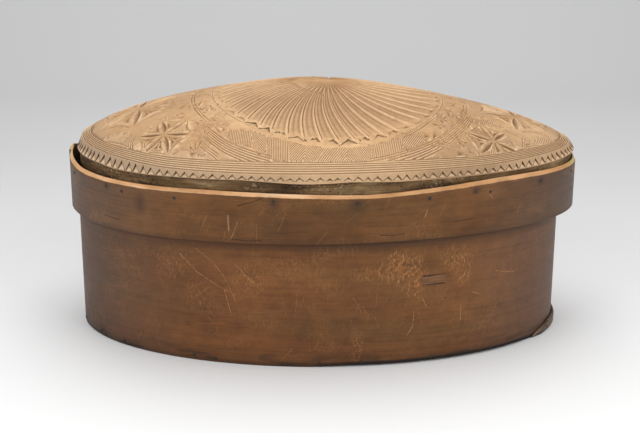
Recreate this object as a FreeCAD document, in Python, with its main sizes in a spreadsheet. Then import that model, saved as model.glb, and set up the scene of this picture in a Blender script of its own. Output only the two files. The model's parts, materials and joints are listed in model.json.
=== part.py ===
import FreeCAD
import Part
import Sketcher

import math
import os

# Oval bentwood box with a domed lid, in millimetres.
# Length along X, width along Y, height along Z. The origin is the centre of the foot.
# The wall and the lid band are thin boards bent round and lapped at their ends.
# The lid is a thick board, domed on top and hollowed below, nailed inside its band.

SIZES = (
    ("wall_length", 460.0, "outside length of the wall"),
    ("wall_width", 273.0, "outside width of the wall"),
    ("wall_height", 144.0, "height of the wall from the foot"),
    ("wall_thick", 4.5, "thickness of the wall"),
    ("wall_lap_thick", 2.0, "how far the lap stands out at the back"),
    ("wall_lap_reach", 95.0, "length of the lap along the back"),
    ("bottom_thick", 9.0, "thickness of the bottom board"),
    ("bottom_clear", 0.2, "gap round the bottom board inside the wall"),
    ("band_end_clear", 6.9, "mean gap between the wall and the lid band at each end"),
    ("band_side_clear", 5.6, "gap between the wall and the lid band at the middle of each side"),
    ("band_forward", 4.4, "how far the band's centre lies towards +X"),
    ("band_thick", 3.6, "thickness of the lid band"),
    ("band_height", 46.0, "height of the lid band"),
    ("band_overlap", 27.0, "how far the band reaches down over the wall"),
    ("band_lap_thick", 1.4, "how far the band's lap stands out at the end"),
    ("band_lap_reach", 120.0, "length of the band's lap"),
    ("bevel_height", 4.2, "height of the worn bevel on the band's top edge"),
    ("bevel_depth", 2.2, "depth of the worn bevel on the band's top edge"),
    ("seat_clear", 0.3, "gap between the lid board and the wall it rests on"),
    ("board_clear", 0.6, "gap between the lid board and its band"),
    ("board_end_gap", 6.5, "gap between board and band at the -X end"),
    ("board_side", 28.0, "height of the board's plain side, up to the lip"),
    ("lip_overhang", 2.0, "how far the lip stands over the plain side"),
    ("lip_thick", 5.9, "height of the lip"),
    ("dome_rise", 55.5, "rise of the dome above the lip"),
    ("rim_width", 24.0, "width of the flat rim under the lid board"),
    ("dome_wall", 18.0, "thickness of the wood over the hollow"),
    ("nail_shank", 2.0, "width of a nail's square shank"),
    ("nail_head", 3.6, "width of a nail's square head"),
    ("nail_head_thick", 0.9, "thickness of a nail's head"),
    ("nail_reach", 16.0, "length of a nail under its head"),
    ("nail_point", 3.0, "length of a nail's point"),
    ("nail_clear", 0.05, "gap round a nail in its hole"),
    ("lid_nail_drop", 8.6, "height of the lid nails below the band's top"),
    ("patch_length", 21.5, "length of the piece let into the wall"),
    ("patch_height", 9.0, "height of the piece let into the wall"),
    ("patch_depth", 2.2, "depth of the piece let into the wall"),
    ("patch_middle", 78.0, "height of the let-in piece's middle"),
    ("lath_thick", 4.2, "thickness of the foot lath"),
    ("lath_height", 13.0, "height of the foot lath"),
    ("lath_clear", 0.3, "gap between the foot lath and the wall"),
    ("overrun", 2.0, "how far a cutting shape runs past what it cuts"),
)

# Shapes of the ovals and of the dome, as shares of their sizes.
BAND_EGG_SHARE = 0.10
BOARD_EGG_SHARE = 0.12
DOME_LEAN_SHARE = 0.124
DOME_END_DROP_SHARE = 0.226
DOME_SHOULDER_SHARES = (-0.22, 0.97)
DOME_END_SHARE = 1.01
DOME_EDGE_SHARE = 1.05

# Places round the ovals, as shares of a turn from +X towards the back.
BASE_NAIL_SHARES = (0.09, 0.15, 0.20, 0.32, 0.38, 0.43, 0.49, 0.533, 0.575,
                    0.608, 0.67, 0.685, 0.751, 0.777, 0.823, 0.87)
LID_NAIL_SHARES = (0.02, 0.065, 0.115, 0.17, 0.225, 0.28, 0.335, 0.372, 0.55, 0.603,
                   0.619, 0.661, 0.722, 0.769, 0.812, 0.843, 0.854, 0.901, 0.955)
WALL_LAP_SHARE = 0.215
WALL_LAP_NAIL_SHARES = (0.14, 0.30, 0.46, 0.62, 0.74)
BAND_LAP_SHARE = 0.505
BAND_LAP_NAIL_SHARES = (0.25, 0.52, 0.78)
NAIL_TIP_SHARE = 0.25
LAP_SINK_SHARE = 0.15
LAP_NAIL_ALONG_SHARE = 0.08
LAP_NAIL_OUT_SHARE = 1 - LAP_NAIL_ALONG_SHARE * (1 + LAP_SINK_SHARE)
LATH_SHARES = (0.92, 1.06)
LATH_NAIL_SHARES = (0.945, 1.025)
PATCH_SHARE = 0.8233

CURVE_STEPS = 48
LAYER_STEPS = 12
DOME_STEPS = (32, 24)

doc = FreeCAD.newDocument("oval_box")
sheet = doc.addObject("Spreadsheet::Sheet", "sizes")
for row, (alias, value, note) in enumerate(SIZES, start=1):
    sheet.set("A%d" % row, note)
    sheet.set("B%d" % row, str(value))
    sheet.setAlias("B%d" % row, alias)
doc.recompute()


def size(alias):
    return float(sheet.get(alias))


# Ovals
# An oval is its half length, half width, centre along X and egg share.
# The egg share makes the -X end blunter and the +X end narrower.

def oval(half_length, half_width, centre, egg_share):
    return {"a": half_length, "b": half_width, "centre": centre, "egg": egg_share}


def oval_point(shape, share, out=0.0):
    """Point of the oval at a share of a turn, moved outwards along the normal."""
    turn = 2 * math.pi * share
    x = math.cos(turn)
    y = math.sin(turn)
    place = FreeCAD.Vector(shape["a"] * x + shape["centre"], shape["b"] * y * (1 - shape["egg"] * x), 0)
    return place + oval_normal(shape, share) * out


def oval_normal(shape, share):
    turn = 2 * math.pi * share
    x = math.cos(turn)
    y = math.sin(turn)
    along_x = -shape["a"] * y
    along_y = shape["b"] * (x - shape["egg"] * (x * x - y * y))
    normal = FreeCAD.Vector(along_y, -along_x, 0)
    normal.normalize()
    return normal


def arcs(points):
    """Arcs through each point, a middle point and the next, so every second point is a joint."""
    edges = []
    for first in range(0, len(points) - 2, 2):
        edges.append(Part.Arc(points[first], points[first + 1], points[first + 2]).toShape())
    return edges


def oval_wire(shape, height, out=0.0):
    points = []
    for step in range(CURVE_STEPS):
        points.append(oval_point(shape, step / CURVE_STEPS, out) + FreeCAD.Vector(0, 0, height))
    points.append(points[0])
    return Part.Wire(arcs(points))


def oval_prism(shape, low, high, out=0.0):
    face = Part.Face(oval_wire(shape, low, out))
    return face.extrude(FreeCAD.Vector(0, 0, high - low))


def layer(shape, first_share, last_share, inner_out, first_out, last_out, low, high):
    """Strip that follows the oval between two places, its outside moving from first_out to last_out."""
    inner = []
    outer = []
    for step in range(LAYER_STEPS + 1):
        along = step / LAYER_STEPS
        share = first_share + (last_share - first_share) * along
        inner.append(oval_point(shape, share, inner_out) + FreeCAD.Vector(0, 0, low))
        outer.append(oval_point(shape, share, first_out + (last_out - first_out) * along)
                     + FreeCAD.Vector(0, 0, low))
    ends = [Part.makeLine(inner[-1], outer[-1]), Part.makeLine(outer[0], inner[0])]
    face = Part.Face(Part.Wire(Part.__sortEdges__(arcs(inner) + arcs(outer) + ends)))
    return face.extrude(FreeCAD.Vector(0, 0, high - low))


def share_of_reach(shape, share, reach):
    """Share of a turn that a length along the oval's edge takes up at one place."""
    turn = 2 * math.pi * share
    speed = math.hypot(shape["a"] * math.sin(turn), shape["b"] * math.cos(turn))
    return reach / (2 * math.pi * speed)


# Nails
# A nail is a square wrought shank with a tapered point and a flat square head, driven inwards.

def square_bar(width, low, high):
    corner = FreeCAD.Vector(-width / 2, -width / 2, low)
    return Part.makeBox(width, width, high - low, corner)


def square_wire(width, height):
    half = width / 2
    corners = []
    for along, across in ((-half, -half), (half, -half), (half, half), (-half, half), (-half, -half)):
        corners.append(FreeCAD.Vector(along, across, height))
    return Part.makePolygon(corners)


def nail(reach):
    """Nail with its head's outside at height zero and its point at the far end."""
    under_head = size("nail_head_thick")
    straight = under_head + reach - size("nail_point")
    head = square_bar(size("nail_head"), 0, under_head)
    shank = square_bar(size("nail_shank"), under_head, straight)
    tip = square_wire(size("nail_shank") * NAIL_TIP_SHARE, under_head + reach)
    point = Part.makeLoft([square_wire(size("nail_shank"), straight), tip], True, True)
    return head.fuse([shank, point]).removeSplitter()


def rivet(reach):
    """Short nail, clinched flush with the inside of what it holds."""
    under_head = size("nail_head_thick")
    head = square_bar(size("nail_head"), 0, under_head)
    return head.fuse(square_bar(size("nail_shank"), under_head, reach)).removeSplitter()


def bore(reach):
    """Hole for a nail: a pocket for the head and a square hole for the shank."""
    room = 2 * size("nail_clear")
    pocket = square_bar(size("nail_head") + room, -size("overrun"), size("nail_head_thick"))
    hole = square_bar(size("nail_shank") + room, 0, reach + size("nail_head_thick") + size("nail_clear"))
    return pocket.fuse(hole).removeSplitter()


def driven(shape, share, out, height, solid):
    """Turn a nail or bore inwards at a place on the oval and at a height."""
    inward = oval_normal(shape, share) * -1
    place = oval_point(shape, share, out) + FreeCAD.Vector(0, 0, height)
    copy = solid.copy()
    copy.Placement = FreeCAD.Placement(place, FreeCAD.Rotation(FreeCAD.Vector(0, 0, 1), inward))
    return copy


# Parametric helpers

def plane_of(body, role):
    for item in body.Origin.OriginFeatures:
        if item.Role == role:
            return item
    raise ValueError("no origin plane called " + role)


def sketch_ellipse(sketch, name, length_cell, width_cell, length, width):
    """Ellipse centred on the sketch's origin, its length and width bound to the sheet."""
    tip = FreeCAD.Vector(length / 2, 0, 0)
    side = FreeCAD.Vector(0, width / 2, 0)
    curve = sketch.addGeometry(Part.Ellipse(tip, side, FreeCAD.Vector(0, 0, 0)), False)
    sketch.exposeInternalGeometry(curve)
    long_axis = curve + 1
    short_axis = curve + 2
    # The ellipse's vertex 3 is its centre, and vertex 1 of geometry -1 is the sketch's origin.
    sketch.addConstraint(Sketcher.Constraint("Coincident", curve, 3, -1, 1))
    sketch.addConstraint(Sketcher.Constraint("Horizontal", long_axis))
    long_index = sketch.addConstraint(Sketcher.Constraint("Distance", long_axis, length))
    sketch.renameConstraint(long_index, name + "_long")
    short_index = sketch.addConstraint(Sketcher.Constraint("Distance", short_axis, width))
    sketch.renameConstraint(short_index, name + "_short")
    sketch.setExpression("Constraints." + name + "_long", length_cell)
    sketch.setExpression("Constraints." + name + "_short", width_cell)


def padded_body(name, ellipses, height_cell):
    """Body padded from one or two ellipses, each bound to cells of the sheet."""
    body = doc.addObject("PartDesign::Body", name + "_blank")
    sketch = body.newObject("Sketcher::SketchObject", name + "_outline")
    sketch.AttachmentSupport = [(plane_of(body, "XY_Plane"), "")]
    sketch.MapMode = "FlatFace"
    for ellipse in ellipses:
        sketch_ellipse(sketch, *ellipse)
    pad = body.newObject("PartDesign::Pad", name + "_pad")
    pad.Profile = sketch
    pad.setExpression("Length", height_cell)
    return body


def feature(name, shape):
    made = doc.addObject("Part::Feature", name)
    made.Shape = shape
    return made


def boolean(kind, name, base, tool):
    made = doc.addObject("Part::" + kind, name)
    made.Base = base
    made.Tool = tool
    return made


# Ovals that the pieces follow

wall_oval = oval(size("wall_length") / 2, size("wall_width") / 2, 0, 0)
band_half_length = wall_oval["a"] + size("band_end_clear") + size("band_thick")
band_half_width = wall_oval["b"] + size("band_side_clear") + size("band_thick")
band_oval = oval(band_half_length, band_half_width, size("band_forward"), BAND_EGG_SHARE)
board_right = band_oval["centre"] + band_oval["a"] - size("band_thick") - size("board_clear")
board_left = band_oval["centre"] - band_oval["a"] + size("band_thick") + size("board_end_gap")
board_oval = oval((board_right - board_left) / 2, band_oval["b"] - size("band_thick") - size("board_clear"),
                  (board_right + board_left) / 2, BOARD_EGG_SHARE)
lip_oval = oval(board_oval["a"] + size("lip_overhang"), board_oval["b"] + size("lip_overhang"),
                board_oval["centre"], BOARD_EGG_SHARE)

# Levels of the lid

band_low = size("wall_height") - size("band_overlap")
band_high = band_low + size("band_height")
board_low = size("wall_height") + size("seat_clear")
lip_low = board_low + size("board_side")
lip_high = lip_low + size("lip_thick")
crest = lip_high + size("dome_rise")
base_nail_level = size("bottom_thick") / 2
lid_nail_level = band_high - size("lid_nail_drop")


# Wall
# A thin board bent round, its outer end lapped over the inner end at the back and nailed.

wall_ring = oval_prism(wall_oval, 0, size("wall_height"))
wall_ring = wall_ring.cut(oval_prism(wall_oval, -size("overrun"), size("wall_height") + size("overrun"),
                                     -size("wall_thick")))
wall_lap_last = WALL_LAP_SHARE + share_of_reach(wall_oval, WALL_LAP_SHARE, size("wall_lap_reach"))
wall_lap = layer(wall_oval, wall_lap_last, WALL_LAP_SHARE, -size("wall_thick") / 2,
                 -size("wall_lap_thick") * LAP_SINK_SHARE, size("wall_lap_thick"), 0, size("wall_height"))
lapped_wall = feature("lapped_wall", wall_ring.fuse(wall_lap).removeSplitter())

base_bores = []
base_nails = []
for share in BASE_NAIL_SHARES:
    base_bores.append(driven(wall_oval, share, 0, base_nail_level, bore(size("nail_reach"))))
    base_nails.append(driven(wall_oval, share, 0, base_nail_level, nail(size("nail_reach"))))

lath_out = size("lath_clear") + size("lath_thick")
lath_bores = []
lath_nails = []
for share in LATH_NAIL_SHARES:
    lath_bores.append(driven(wall_oval, share, lath_out, base_nail_level, bore(size("nail_reach"))))
    lath_nails.append(driven(wall_oval, share, lath_out, base_nail_level, nail(size("nail_reach"))))

wall_lap_bores = []
wall_lap_nails = []
wall_lap_nail_reach = size("wall_thick") + size("wall_lap_thick") * LAP_NAIL_OUT_SHARE
for height_share in WALL_LAP_NAIL_SHARES:
    level = size("wall_height") * height_share
    share = WALL_LAP_SHARE + (wall_lap_last - WALL_LAP_SHARE) * LAP_NAIL_ALONG_SHARE
    out = size("wall_lap_thick") * LAP_NAIL_OUT_SHARE
    wall_lap_bores.append(driven(wall_oval, share, out, level, bore(wall_lap_nail_reach)))
    wall_lap_nails.append(driven(wall_oval, share, out, level, rivet(wall_lap_nail_reach)))

# Let-in piece: a shallow block that follows the wall's outside.

patch_block = doc.addObject("Part::Box", "patch_block")
patch_block.setExpression("Length", "sizes.patch_length")
patch_block.setExpression("Width", "sizes.patch_depth + sizes.overrun")
patch_block.setExpression("Height", "sizes.patch_height")
patch_normal = oval_normal(wall_oval, PATCH_SHARE)
patch_turn = math.degrees(math.atan2(patch_normal.x, -patch_normal.y))
patch_rotation = FreeCAD.Rotation(FreeCAD.Vector(0, 0, 1), patch_turn)
patch_corner = patch_rotation.multVec(FreeCAD.Vector(-size("patch_length") / 2, -size("overrun"), 0))
patch_level = size("patch_middle") - size("patch_height") / 2
patch_block.Placement = FreeCAD.Placement(
    oval_point(wall_oval, PATCH_SHARE) + patch_corner + FreeCAD.Vector(0, 0, patch_level), patch_rotation)
wall_patch = boolean("Common", "wall_patch", lapped_wall, patch_block)

wall_bores = feature("wall_bores", Part.makeCompound(base_bores + lath_bores + wall_lap_bores))
bored_wall = boolean("Cut", "bored_wall", lapped_wall, wall_bores)
body_wall = boolean("Cut", "body_wall", bored_wall, patch_block)

# Bottom board

board_cells = " - 2 * sizes.wall_thick - 2 * sizes.bottom_clear"
bottom_less = 2 * size("wall_thick") + 2 * size("bottom_clear")
bottom_blank = padded_body(
    "bottom",
    (
        ("edge", "sizes.wall_length" + board_cells, "sizes.wall_width" + board_cells,
         size("wall_length") - bottom_less, size("wall_width") - bottom_less),
    ),
    "sizes.bottom_thick",
)
bottom_bores = feature("bottom_bores", Part.makeCompound(base_bores + lath_bores))
bottom_board = boolean("Cut", "bottom_board", bottom_blank, bottom_bores)

# Foot lath: a remnant of thin lath outside the foot, at the +X end.

lath_blank = feature("lath_blank", layer(wall_oval, LATH_SHARES[0], LATH_SHARES[1], size("lath_clear"),
                                         lath_out, lath_out, 0, size("lath_height")))
lath_bore_group = feature("lath_bore_group", Part.makeCompound(lath_bores))
foot_lath = boolean("Cut", "foot_lath", lath_blank, lath_bore_group)

# Lid band
# A bent strip with a worn bevel round its top edge, lapped at the -X end.

bevel_low = band_high - size("bevel_height")
band_body = oval_prism(band_oval, band_low, bevel_low)
band_bevel = Part.makeLoft([oval_wire(band_oval, bevel_low), oval_wire(band_oval, band_high, -size("bevel_depth"))],
                           True, True)
band_inside = oval_prism(band_oval, band_low - size("overrun"), band_high + size("overrun"),
                         -size("band_thick"))
band_lap_first = BAND_LAP_SHARE - share_of_reach(band_oval, BAND_LAP_SHARE, size("band_lap_reach"))
band_lap = layer(band_oval, band_lap_first, BAND_LAP_SHARE, -size("band_thick") / 2,
                 -size("band_lap_thick") * LAP_SINK_SHARE, size("band_lap_thick"), band_low, bevel_low)
band_blank = feature("band_blank", band_body.fuse([band_bevel, band_lap]).cut(band_inside).removeSplitter())

lid_bores = []
lid_nails = []
for share in LID_NAIL_SHARES:
    lid_bores.append(driven(band_oval, share, 0, lid_nail_level, bore(size("nail_reach"))))
    lid_nails.append(driven(band_oval, share, 0, lid_nail_level, nail(size("nail_reach"))))

band_lap_bores = []
band_lap_nails = []
band_lap_out = size("band_lap_thick") * LAP_NAIL_OUT_SHARE
band_lap_nail_reach = size("band_thick") + band_lap_out
for height_share in BAND_LAP_NAIL_SHARES:
    level = band_low + size("band_height") * height_share
    share = BAND_LAP_SHARE - (BAND_LAP_SHARE - band_lap_first) * LAP_NAIL_ALONG_SHARE
    band_lap_bores.append(driven(band_oval, share, band_lap_out, level, bore(band_lap_nail_reach)))
    band_lap_nails.append(driven(band_oval, share, band_lap_out, level, rivet(band_lap_nail_reach)))

band_bores = feature("band_bores", Part.makeCompound(lid_bores + band_lap_bores))
lid_band = boolean("Cut", "lid_band", band_blank, band_bores)

# Lid board
# Its plain side fits the band. The lip stands over that side, and the dome springs from the lip.


def dome_rise_at(x, y):
    """Height of the dome above the lip: zero at the lip's edge, leaning and falling towards +X."""
    along = (x - lip_oval["centre"]) / lip_oval["a"]
    across = y / (lip_oval["b"] * (1 - lip_oval["egg"] * along))
    inside = along * along + across * across
    shoulder = 1 + DOME_SHOULDER_SHARES[0] * inside + DOME_SHOULDER_SHARES[1] * inside * inside
    lean = 1 - DOME_LEAN_SHARE * along - DOME_END_DROP_SHARE * along * along
    return size("dome_rise") * (1 - inside) * shoulder * lean


def under_dome(lowered):
    """Solid below the dome's surface, the surface lowered by a thickness."""
    rows = []
    for i in range(DOME_STEPS[0] + 1):
        along = DOME_END_SHARE * (2 * i / DOME_STEPS[0] - 1)
        x = lip_oval["centre"] + lip_oval["a"] * along
        side = lip_oval["b"] * (1 - lip_oval["egg"] * along) * math.sqrt(DOME_EDGE_SHARE ** 2 - along ** 2)
        row = []
        for j in range(DOME_STEPS[1] + 1):
            y = side * (2 * j / DOME_STEPS[1] - 1)
            row.append(FreeCAD.Vector(x, y, lip_high - lowered + dome_rise_at(x, y)))
        rows.append(row)
    surface = Part.BSplineSurface()
    surface.interpolate(rows)
    drop = crest + size("overrun")
    return surface.toShape().extrude(FreeCAD.Vector(0, 0, -drop))


board_side = oval_prism(board_oval, board_low, lip_high)
lip = oval_prism(lip_oval, lip_low, crest + size("overrun"))
board_body = board_side.fuse(lip).common(under_dome(0))
hollow = oval_prism(board_oval, board_low - size("overrun"), crest, -size("rim_width"))
hollow = hollow.common(under_dome(size("dome_wall")))
board_blank = feature("board_blank", board_body.cut(hollow).removeSplitter())
board_bores = feature("board_bores", Part.makeCompound(lid_bores))
lid_top = boolean("Cut", "lid_top", board_blank, board_bores)

# Pieces

pieces = {
    "body_wall": body_wall,
    "bottom_board": bottom_board,
    "base_nails": feature("base_nail_group", Part.makeCompound(base_nails)),
    "wall_lap_nails": feature("wall_lap_nail_group", Part.makeCompound(wall_lap_nails)),
    "wall_patch": wall_patch,
    "foot_lath": foot_lath,
    "foot_lath_nails": feature("lath_nail_group", Part.makeCompound(lath_nails)),
    "lid_band": lid_band,
    "lid_top": lid_top,
    "lid_nails": feature("lid_nail_group", Part.makeCompound(lid_nails)),
    "lid_lap_nails": feature("lid_lap_nail_group", Part.makeCompound(band_lap_nails)),
}
for name, piece in pieces.items():
    piece.Label = name
doc.recompute()

for item in doc.Objects:
    if "Invalid" in item.State or "Error" in item.State:
        raise RuntimeError("failed: " + item.Label)
for name, piece in pieces.items():
    if piece.Shape.isNull() or not piece.Shape.isValid():
        raise RuntimeError("bad shape: " + name)

os.makedirs("parts", exist_ok=True)
for name, piece in pieces.items():
    piece.Shape.exportStep("parts/" + name + ".step")
    box = piece.Shape.BoundBox
    print("%-16s solids %2d  volume %9.0f  x %7.1f %7.1f  y %7.1f %7.1f  z %6.1f %6.1f" % (
        name, len(piece.Shape.Solids), piece.Shape.Volume,
        box.XMin, box.XMax, box.YMin, box.YMax, box.ZMin, box.ZMax))
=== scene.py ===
# %% [markdown]
# # An oval bentwood box with a carved lid
# The real box is two boards and two bent strips. A long thin board is bent round and lapped for
# the wall, a flat oval is let in for the bottom, and the lid is a thick board, domed and carved
# on top, with a shallow strip bent and nailed round its edge. The solids come ready from the
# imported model. This lesson gives them the surface that long use has left.
# Everything is in metres, and sizes that are easier to read in millimetres are multiplied by MM.

import json
import math
import random
from functools import partial

import bpy
import numpy as np
from mathutils import Matrix, Vector
from mathutils.geometry import delaunay_2d_cdt

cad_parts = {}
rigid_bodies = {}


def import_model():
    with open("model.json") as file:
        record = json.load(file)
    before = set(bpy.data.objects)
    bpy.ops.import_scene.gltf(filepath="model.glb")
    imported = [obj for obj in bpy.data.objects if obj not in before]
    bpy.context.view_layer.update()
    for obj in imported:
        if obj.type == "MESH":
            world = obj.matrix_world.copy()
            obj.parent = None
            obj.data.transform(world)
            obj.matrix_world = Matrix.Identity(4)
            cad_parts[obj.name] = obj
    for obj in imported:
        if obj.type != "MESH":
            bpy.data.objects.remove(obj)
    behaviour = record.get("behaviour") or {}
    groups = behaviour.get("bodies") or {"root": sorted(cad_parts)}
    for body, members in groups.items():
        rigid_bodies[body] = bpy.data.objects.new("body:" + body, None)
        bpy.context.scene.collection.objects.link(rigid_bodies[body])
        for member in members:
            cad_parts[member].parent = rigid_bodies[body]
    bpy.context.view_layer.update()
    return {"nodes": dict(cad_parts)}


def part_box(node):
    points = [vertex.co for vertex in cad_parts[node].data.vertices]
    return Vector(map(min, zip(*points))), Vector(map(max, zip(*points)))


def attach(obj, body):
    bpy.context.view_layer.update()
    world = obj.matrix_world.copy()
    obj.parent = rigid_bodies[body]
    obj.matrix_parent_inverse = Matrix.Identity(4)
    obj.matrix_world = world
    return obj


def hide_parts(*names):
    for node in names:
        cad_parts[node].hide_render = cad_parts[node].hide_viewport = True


for leftover in list(bpy.data.objects):
    bpy.data.objects.remove(leftover)
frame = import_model()
MM = 0.001
dice = random.Random(7)
scene = bpy.context.scene
print("nodes:", sorted(frame["nodes"]))


def new_object(name, data):
    made = bpy.data.objects.new(name, data)
    scene.collection.objects.link(made)
    return made



# %% [markdown]
# ## Ovals
# Every piece follows one of a few ovals. The wall is a plain ellipse. The band and the lid board
# are ellipses whose width shrinks a little towards +X, so one end is blunter than the other, as
# a strip bent by hand comes out. A place on an oval is a share of a turn, counted from +X towards
# the back, so 0.75 is the middle of the front. Lengths and widths come from the model's boxes.

# %% Ovals from the model
BAND_EGG_SHARE = 0.10
BOARD_EGG_SHARE = 0.12
LIP_OVERHANG = 2.0 * MM
BOARD_SIDE = 28.0 * MM
LIP_THICK = 5.9 * MM
WALL_THICK = 4.5 * MM
BAND_THICK = 3.6 * MM


def oval_xy(shape, share, out=0.0):
    """Points of an oval at shares of a turn, moved outwards along its normal."""
    turn = 2 * np.pi * np.asarray(share, float)
    cos, sin = np.cos(turn), np.sin(turn)
    x = shape["a"] * cos + shape["centre"]
    y = shape["b"] * sin * (1 - shape["egg"] * cos)
    nx, ny = oval_normal(shape, share)
    return x + nx * out, y + ny * out


def oval_normal(shape, share):
    turn = 2 * np.pi * np.asarray(share, float)
    cos, sin = np.cos(turn), np.sin(turn)
    along_x = -shape["a"] * sin
    along_y = shape["b"] * (cos - shape["egg"] * (cos * cos - sin * sin))
    length = np.hypot(along_x, along_y)
    return along_y / length, -along_x / length


def fitted_oval(low, high, egg):
    """Oval that fills a box from its low corner to its high corner."""
    turn = np.linspace(0, 2 * np.pi, 4001)
    widest = np.max(np.sin(turn) * (1 - egg * np.cos(turn)))
    return {"a": (high.x - low.x) / 2, "b": high.y / widest, "centre": (high.x + low.x) / 2, "egg": egg}


TURN_TABLE = np.linspace(0, 1, 2001)


def oval_run(shape, share):
    """Length along the oval's edge from share 0 to each share."""
    x, y = oval_xy(shape, TURN_TABLE)
    run = np.concatenate([[0], np.cumsum(np.hypot(np.diff(x), np.diff(y)))])
    return np.interp(np.asarray(share, float), TURN_TABLE, run)


def even_shares(shape, count):
    """Shares that lie at even distances along the oval's edge."""
    run = oval_run(shape, TURN_TABLE)
    return np.interp(np.arange(count) / count * run[-1], run, TURN_TABLE)


wall_low, wall_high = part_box("body_wall")
band_low, band_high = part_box("lid_band")
top_low, top_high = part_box("lid_top")
WALL_TOP = wall_high.z
BAND_FOOT = band_low.z
BAND_TOP = band_high.z
BOARD_LOW = top_low.z
LIP_LOW = BOARD_LOW + BOARD_SIDE
LIP_HIGH = LIP_LOW + LIP_THICK
wall_oval = fitted_oval(wall_low, Vector((wall_high.x, -wall_low.y, 0)), 0)
lip_oval = fitted_oval(top_low, top_high, BOARD_EGG_SHARE)
board_oval = dict(lip_oval, a=lip_oval["a"] - LIP_OVERHANG, b=lip_oval["b"] - LIP_OVERHANG)
BAND_FORWARD = 4.4 * MM
band_start = Vector((2 * BAND_FORWARD - band_high.x, band_low.y, 0))
band_oval = fitted_oval(band_start, band_high, BAND_EGG_SHARE)
print("lip oval %.1f x %.1f mm, band oval %.1f x %.1f mm"
      % (lip_oval["a"] * 2 / MM, lip_oval["b"] * 2 / MM, band_oval["a"] * 2 / MM, band_oval["b"] * 2 / MM))

# %% [markdown]
# ## Camera, floor and light
# The box stands on a pale sheet that sweeps up behind it, so no horizon shows. Three large soft
# lamps are enough: one above, a little behind, which picks out the carving, and one at each
# side in front. The camera's height and distance were found by laying the ovals over the picture.

# %% Camera
CAMERA_TARGET = Vector((1.8, 0.0, 98.9)) * MM
CAMERA_DISTANCE = 1167.9 * MM
CAMERA_RISE = math.radians(16.76)
CAMERA_ROLL = math.radians(0.148)
CAMERA_LENS = 67.56

camera = new_object("camera", bpy.data.cameras.new("camera"))
camera.data.lens = CAMERA_LENS
camera.data.sensor_width = 36.0
back = Vector((0, -math.cos(CAMERA_RISE), math.sin(CAMERA_RISE)))
level_up = back.cross(Vector((1, 0, 0)))
right = Vector((1, 0, 0)) * math.cos(CAMERA_ROLL) + level_up * math.sin(CAMERA_ROLL)
upward = back.cross(right)
turned = Matrix((right, upward, back)).transposed().to_4x4()
camera.matrix_world = Matrix.Translation(CAMERA_TARGET + back * CAMERA_DISTANCE) @ turned
scene.camera = camera
print("camera at", [round(value, 3) for value in camera.location])

# %% [markdown]
# ## Short words for nodes
# A material here is a chain of noises, masks and mixes. Each of these small functions adds one
# node to the tree that is being built and hands back its output, so that a finish reads like a
# recipe from top to bottom.

# %% Helpers for materials
tree = None


def start_tree(fresh):
    """From here on the helpers add their nodes to this tree."""
    global tree
    tree = fresh
    tree.nodes.clear()


def new_material(name):
    made = bpy.data.materials.new(name)
    made.use_nodes = True
    start_tree(made.node_tree)
    return made


def fill(socket, value):
    """Links another node's output to a socket, or sets its value."""
    if isinstance(value, bpy.types.NodeSocket):
        tree.links.new(value, socket)
    elif isinstance(value, tuple) and len(value) < len(socket.default_value):
        socket.default_value = (*value, 1)
    else:
        socket.default_value = value


def add(kind, values=None, **settings):
    """Adds a node. A value may be a number, a colour or the output socket of another node."""
    made = tree.nodes.new(kind)
    for key, value in settings.items():
        setattr(made, key, value)
    for socket, value in (values or {}).items():
        fill(made.inputs[socket], value)
    return made


def math_of(operation, first, second=0.0, clamp=False):
    return add("ShaderNodeMath", {0: first, 1: second}, operation=operation, use_clamp=clamp).outputs[0]


times, plus, minus, larger, size_of = (
    partial(math_of, kind) for kind in ("MULTIPLY", "ADD", "SUBTRACT", "MAXIMUM", "ABSOLUTE"))


def span(value, low, high, at_low=0.0, at_high=1.0):
    """Number that goes from at_low to at_high while the value goes from low to high."""
    return add("ShaderNodeMapRange", {0: value, 1: low, 2: high, 3: at_low, 4: at_high}).outputs[0]


def vector_of(operation, first, second):
    return add("ShaderNodeVectorMath", {0: first, 1: second}, operation=operation).outputs[0]


def apart(vector):
    """The three parts of a vector: x, y and z."""
    return add("ShaderNodeSeparateXYZ", {0: vector}).outputs


def grey_of(value):
    return add("ShaderNodeCombineXYZ", {0: value, 1: value, 2: value}).outputs[0]


def object_place():
    return add("ShaderNodeTexCoord").outputs["Object"]


def board_uv():
    return add("ShaderNodeUVMap", uv_map="board").outputs[0]


def stored(name):
    """Number that was written on the mesh."""
    return add("ShaderNodeAttribute", attribute_name=name).outputs["Fac"]


def mapped(where, scale, turn=(0, 0, 0), place=(0, 0, 0)):
    values = {"Vector": where, "Scale": scale, "Rotation": turn, "Location": place}
    return add("ShaderNodeMapping", values).outputs[0]


def noise_of(where, scale, detail=2.0, rough=0.5, bend=0.0):
    """Noise. Three numbers for its scale stretch it along the axes."""
    if isinstance(scale, tuple):
        where, scale = mapped(where, scale), 1.0
    values = {"Vector": where, "Scale": scale, "Detail": detail, "Roughness": rough, "Distortion": bend}
    return add("ShaderNodeTexNoise", values).outputs[0]


def cells_of(where, scale):
    return add("ShaderNodeTexVoronoi", {"Vector": mapped(where, scale), "Scale": 1.0}).outputs[0]


def ramp(factor, stops):
    """Colours or shares of grey between places from 0 to 1."""
    made = add("ShaderNodeValToRGB", {"Fac": factor})
    elements = made.color_ramp.elements
    while len(elements) < len(stops):
        elements.new(0.5)
    for element, (place, colour) in zip(elements, stops):
        element.position = place
        element.color = (*colour, 1) if isinstance(colour, tuple) else (colour, colour, colour, 1)
    return made.outputs[0]


def mix(factor, first, second, blend="MIX"):
    made = add("ShaderNodeMix", data_type="RGBA", blend_type=blend)
    for number, value in ((0, factor), (6, first), (7, second)):
        fill(made.inputs[number], value)
    return made.outputs[2]


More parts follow.
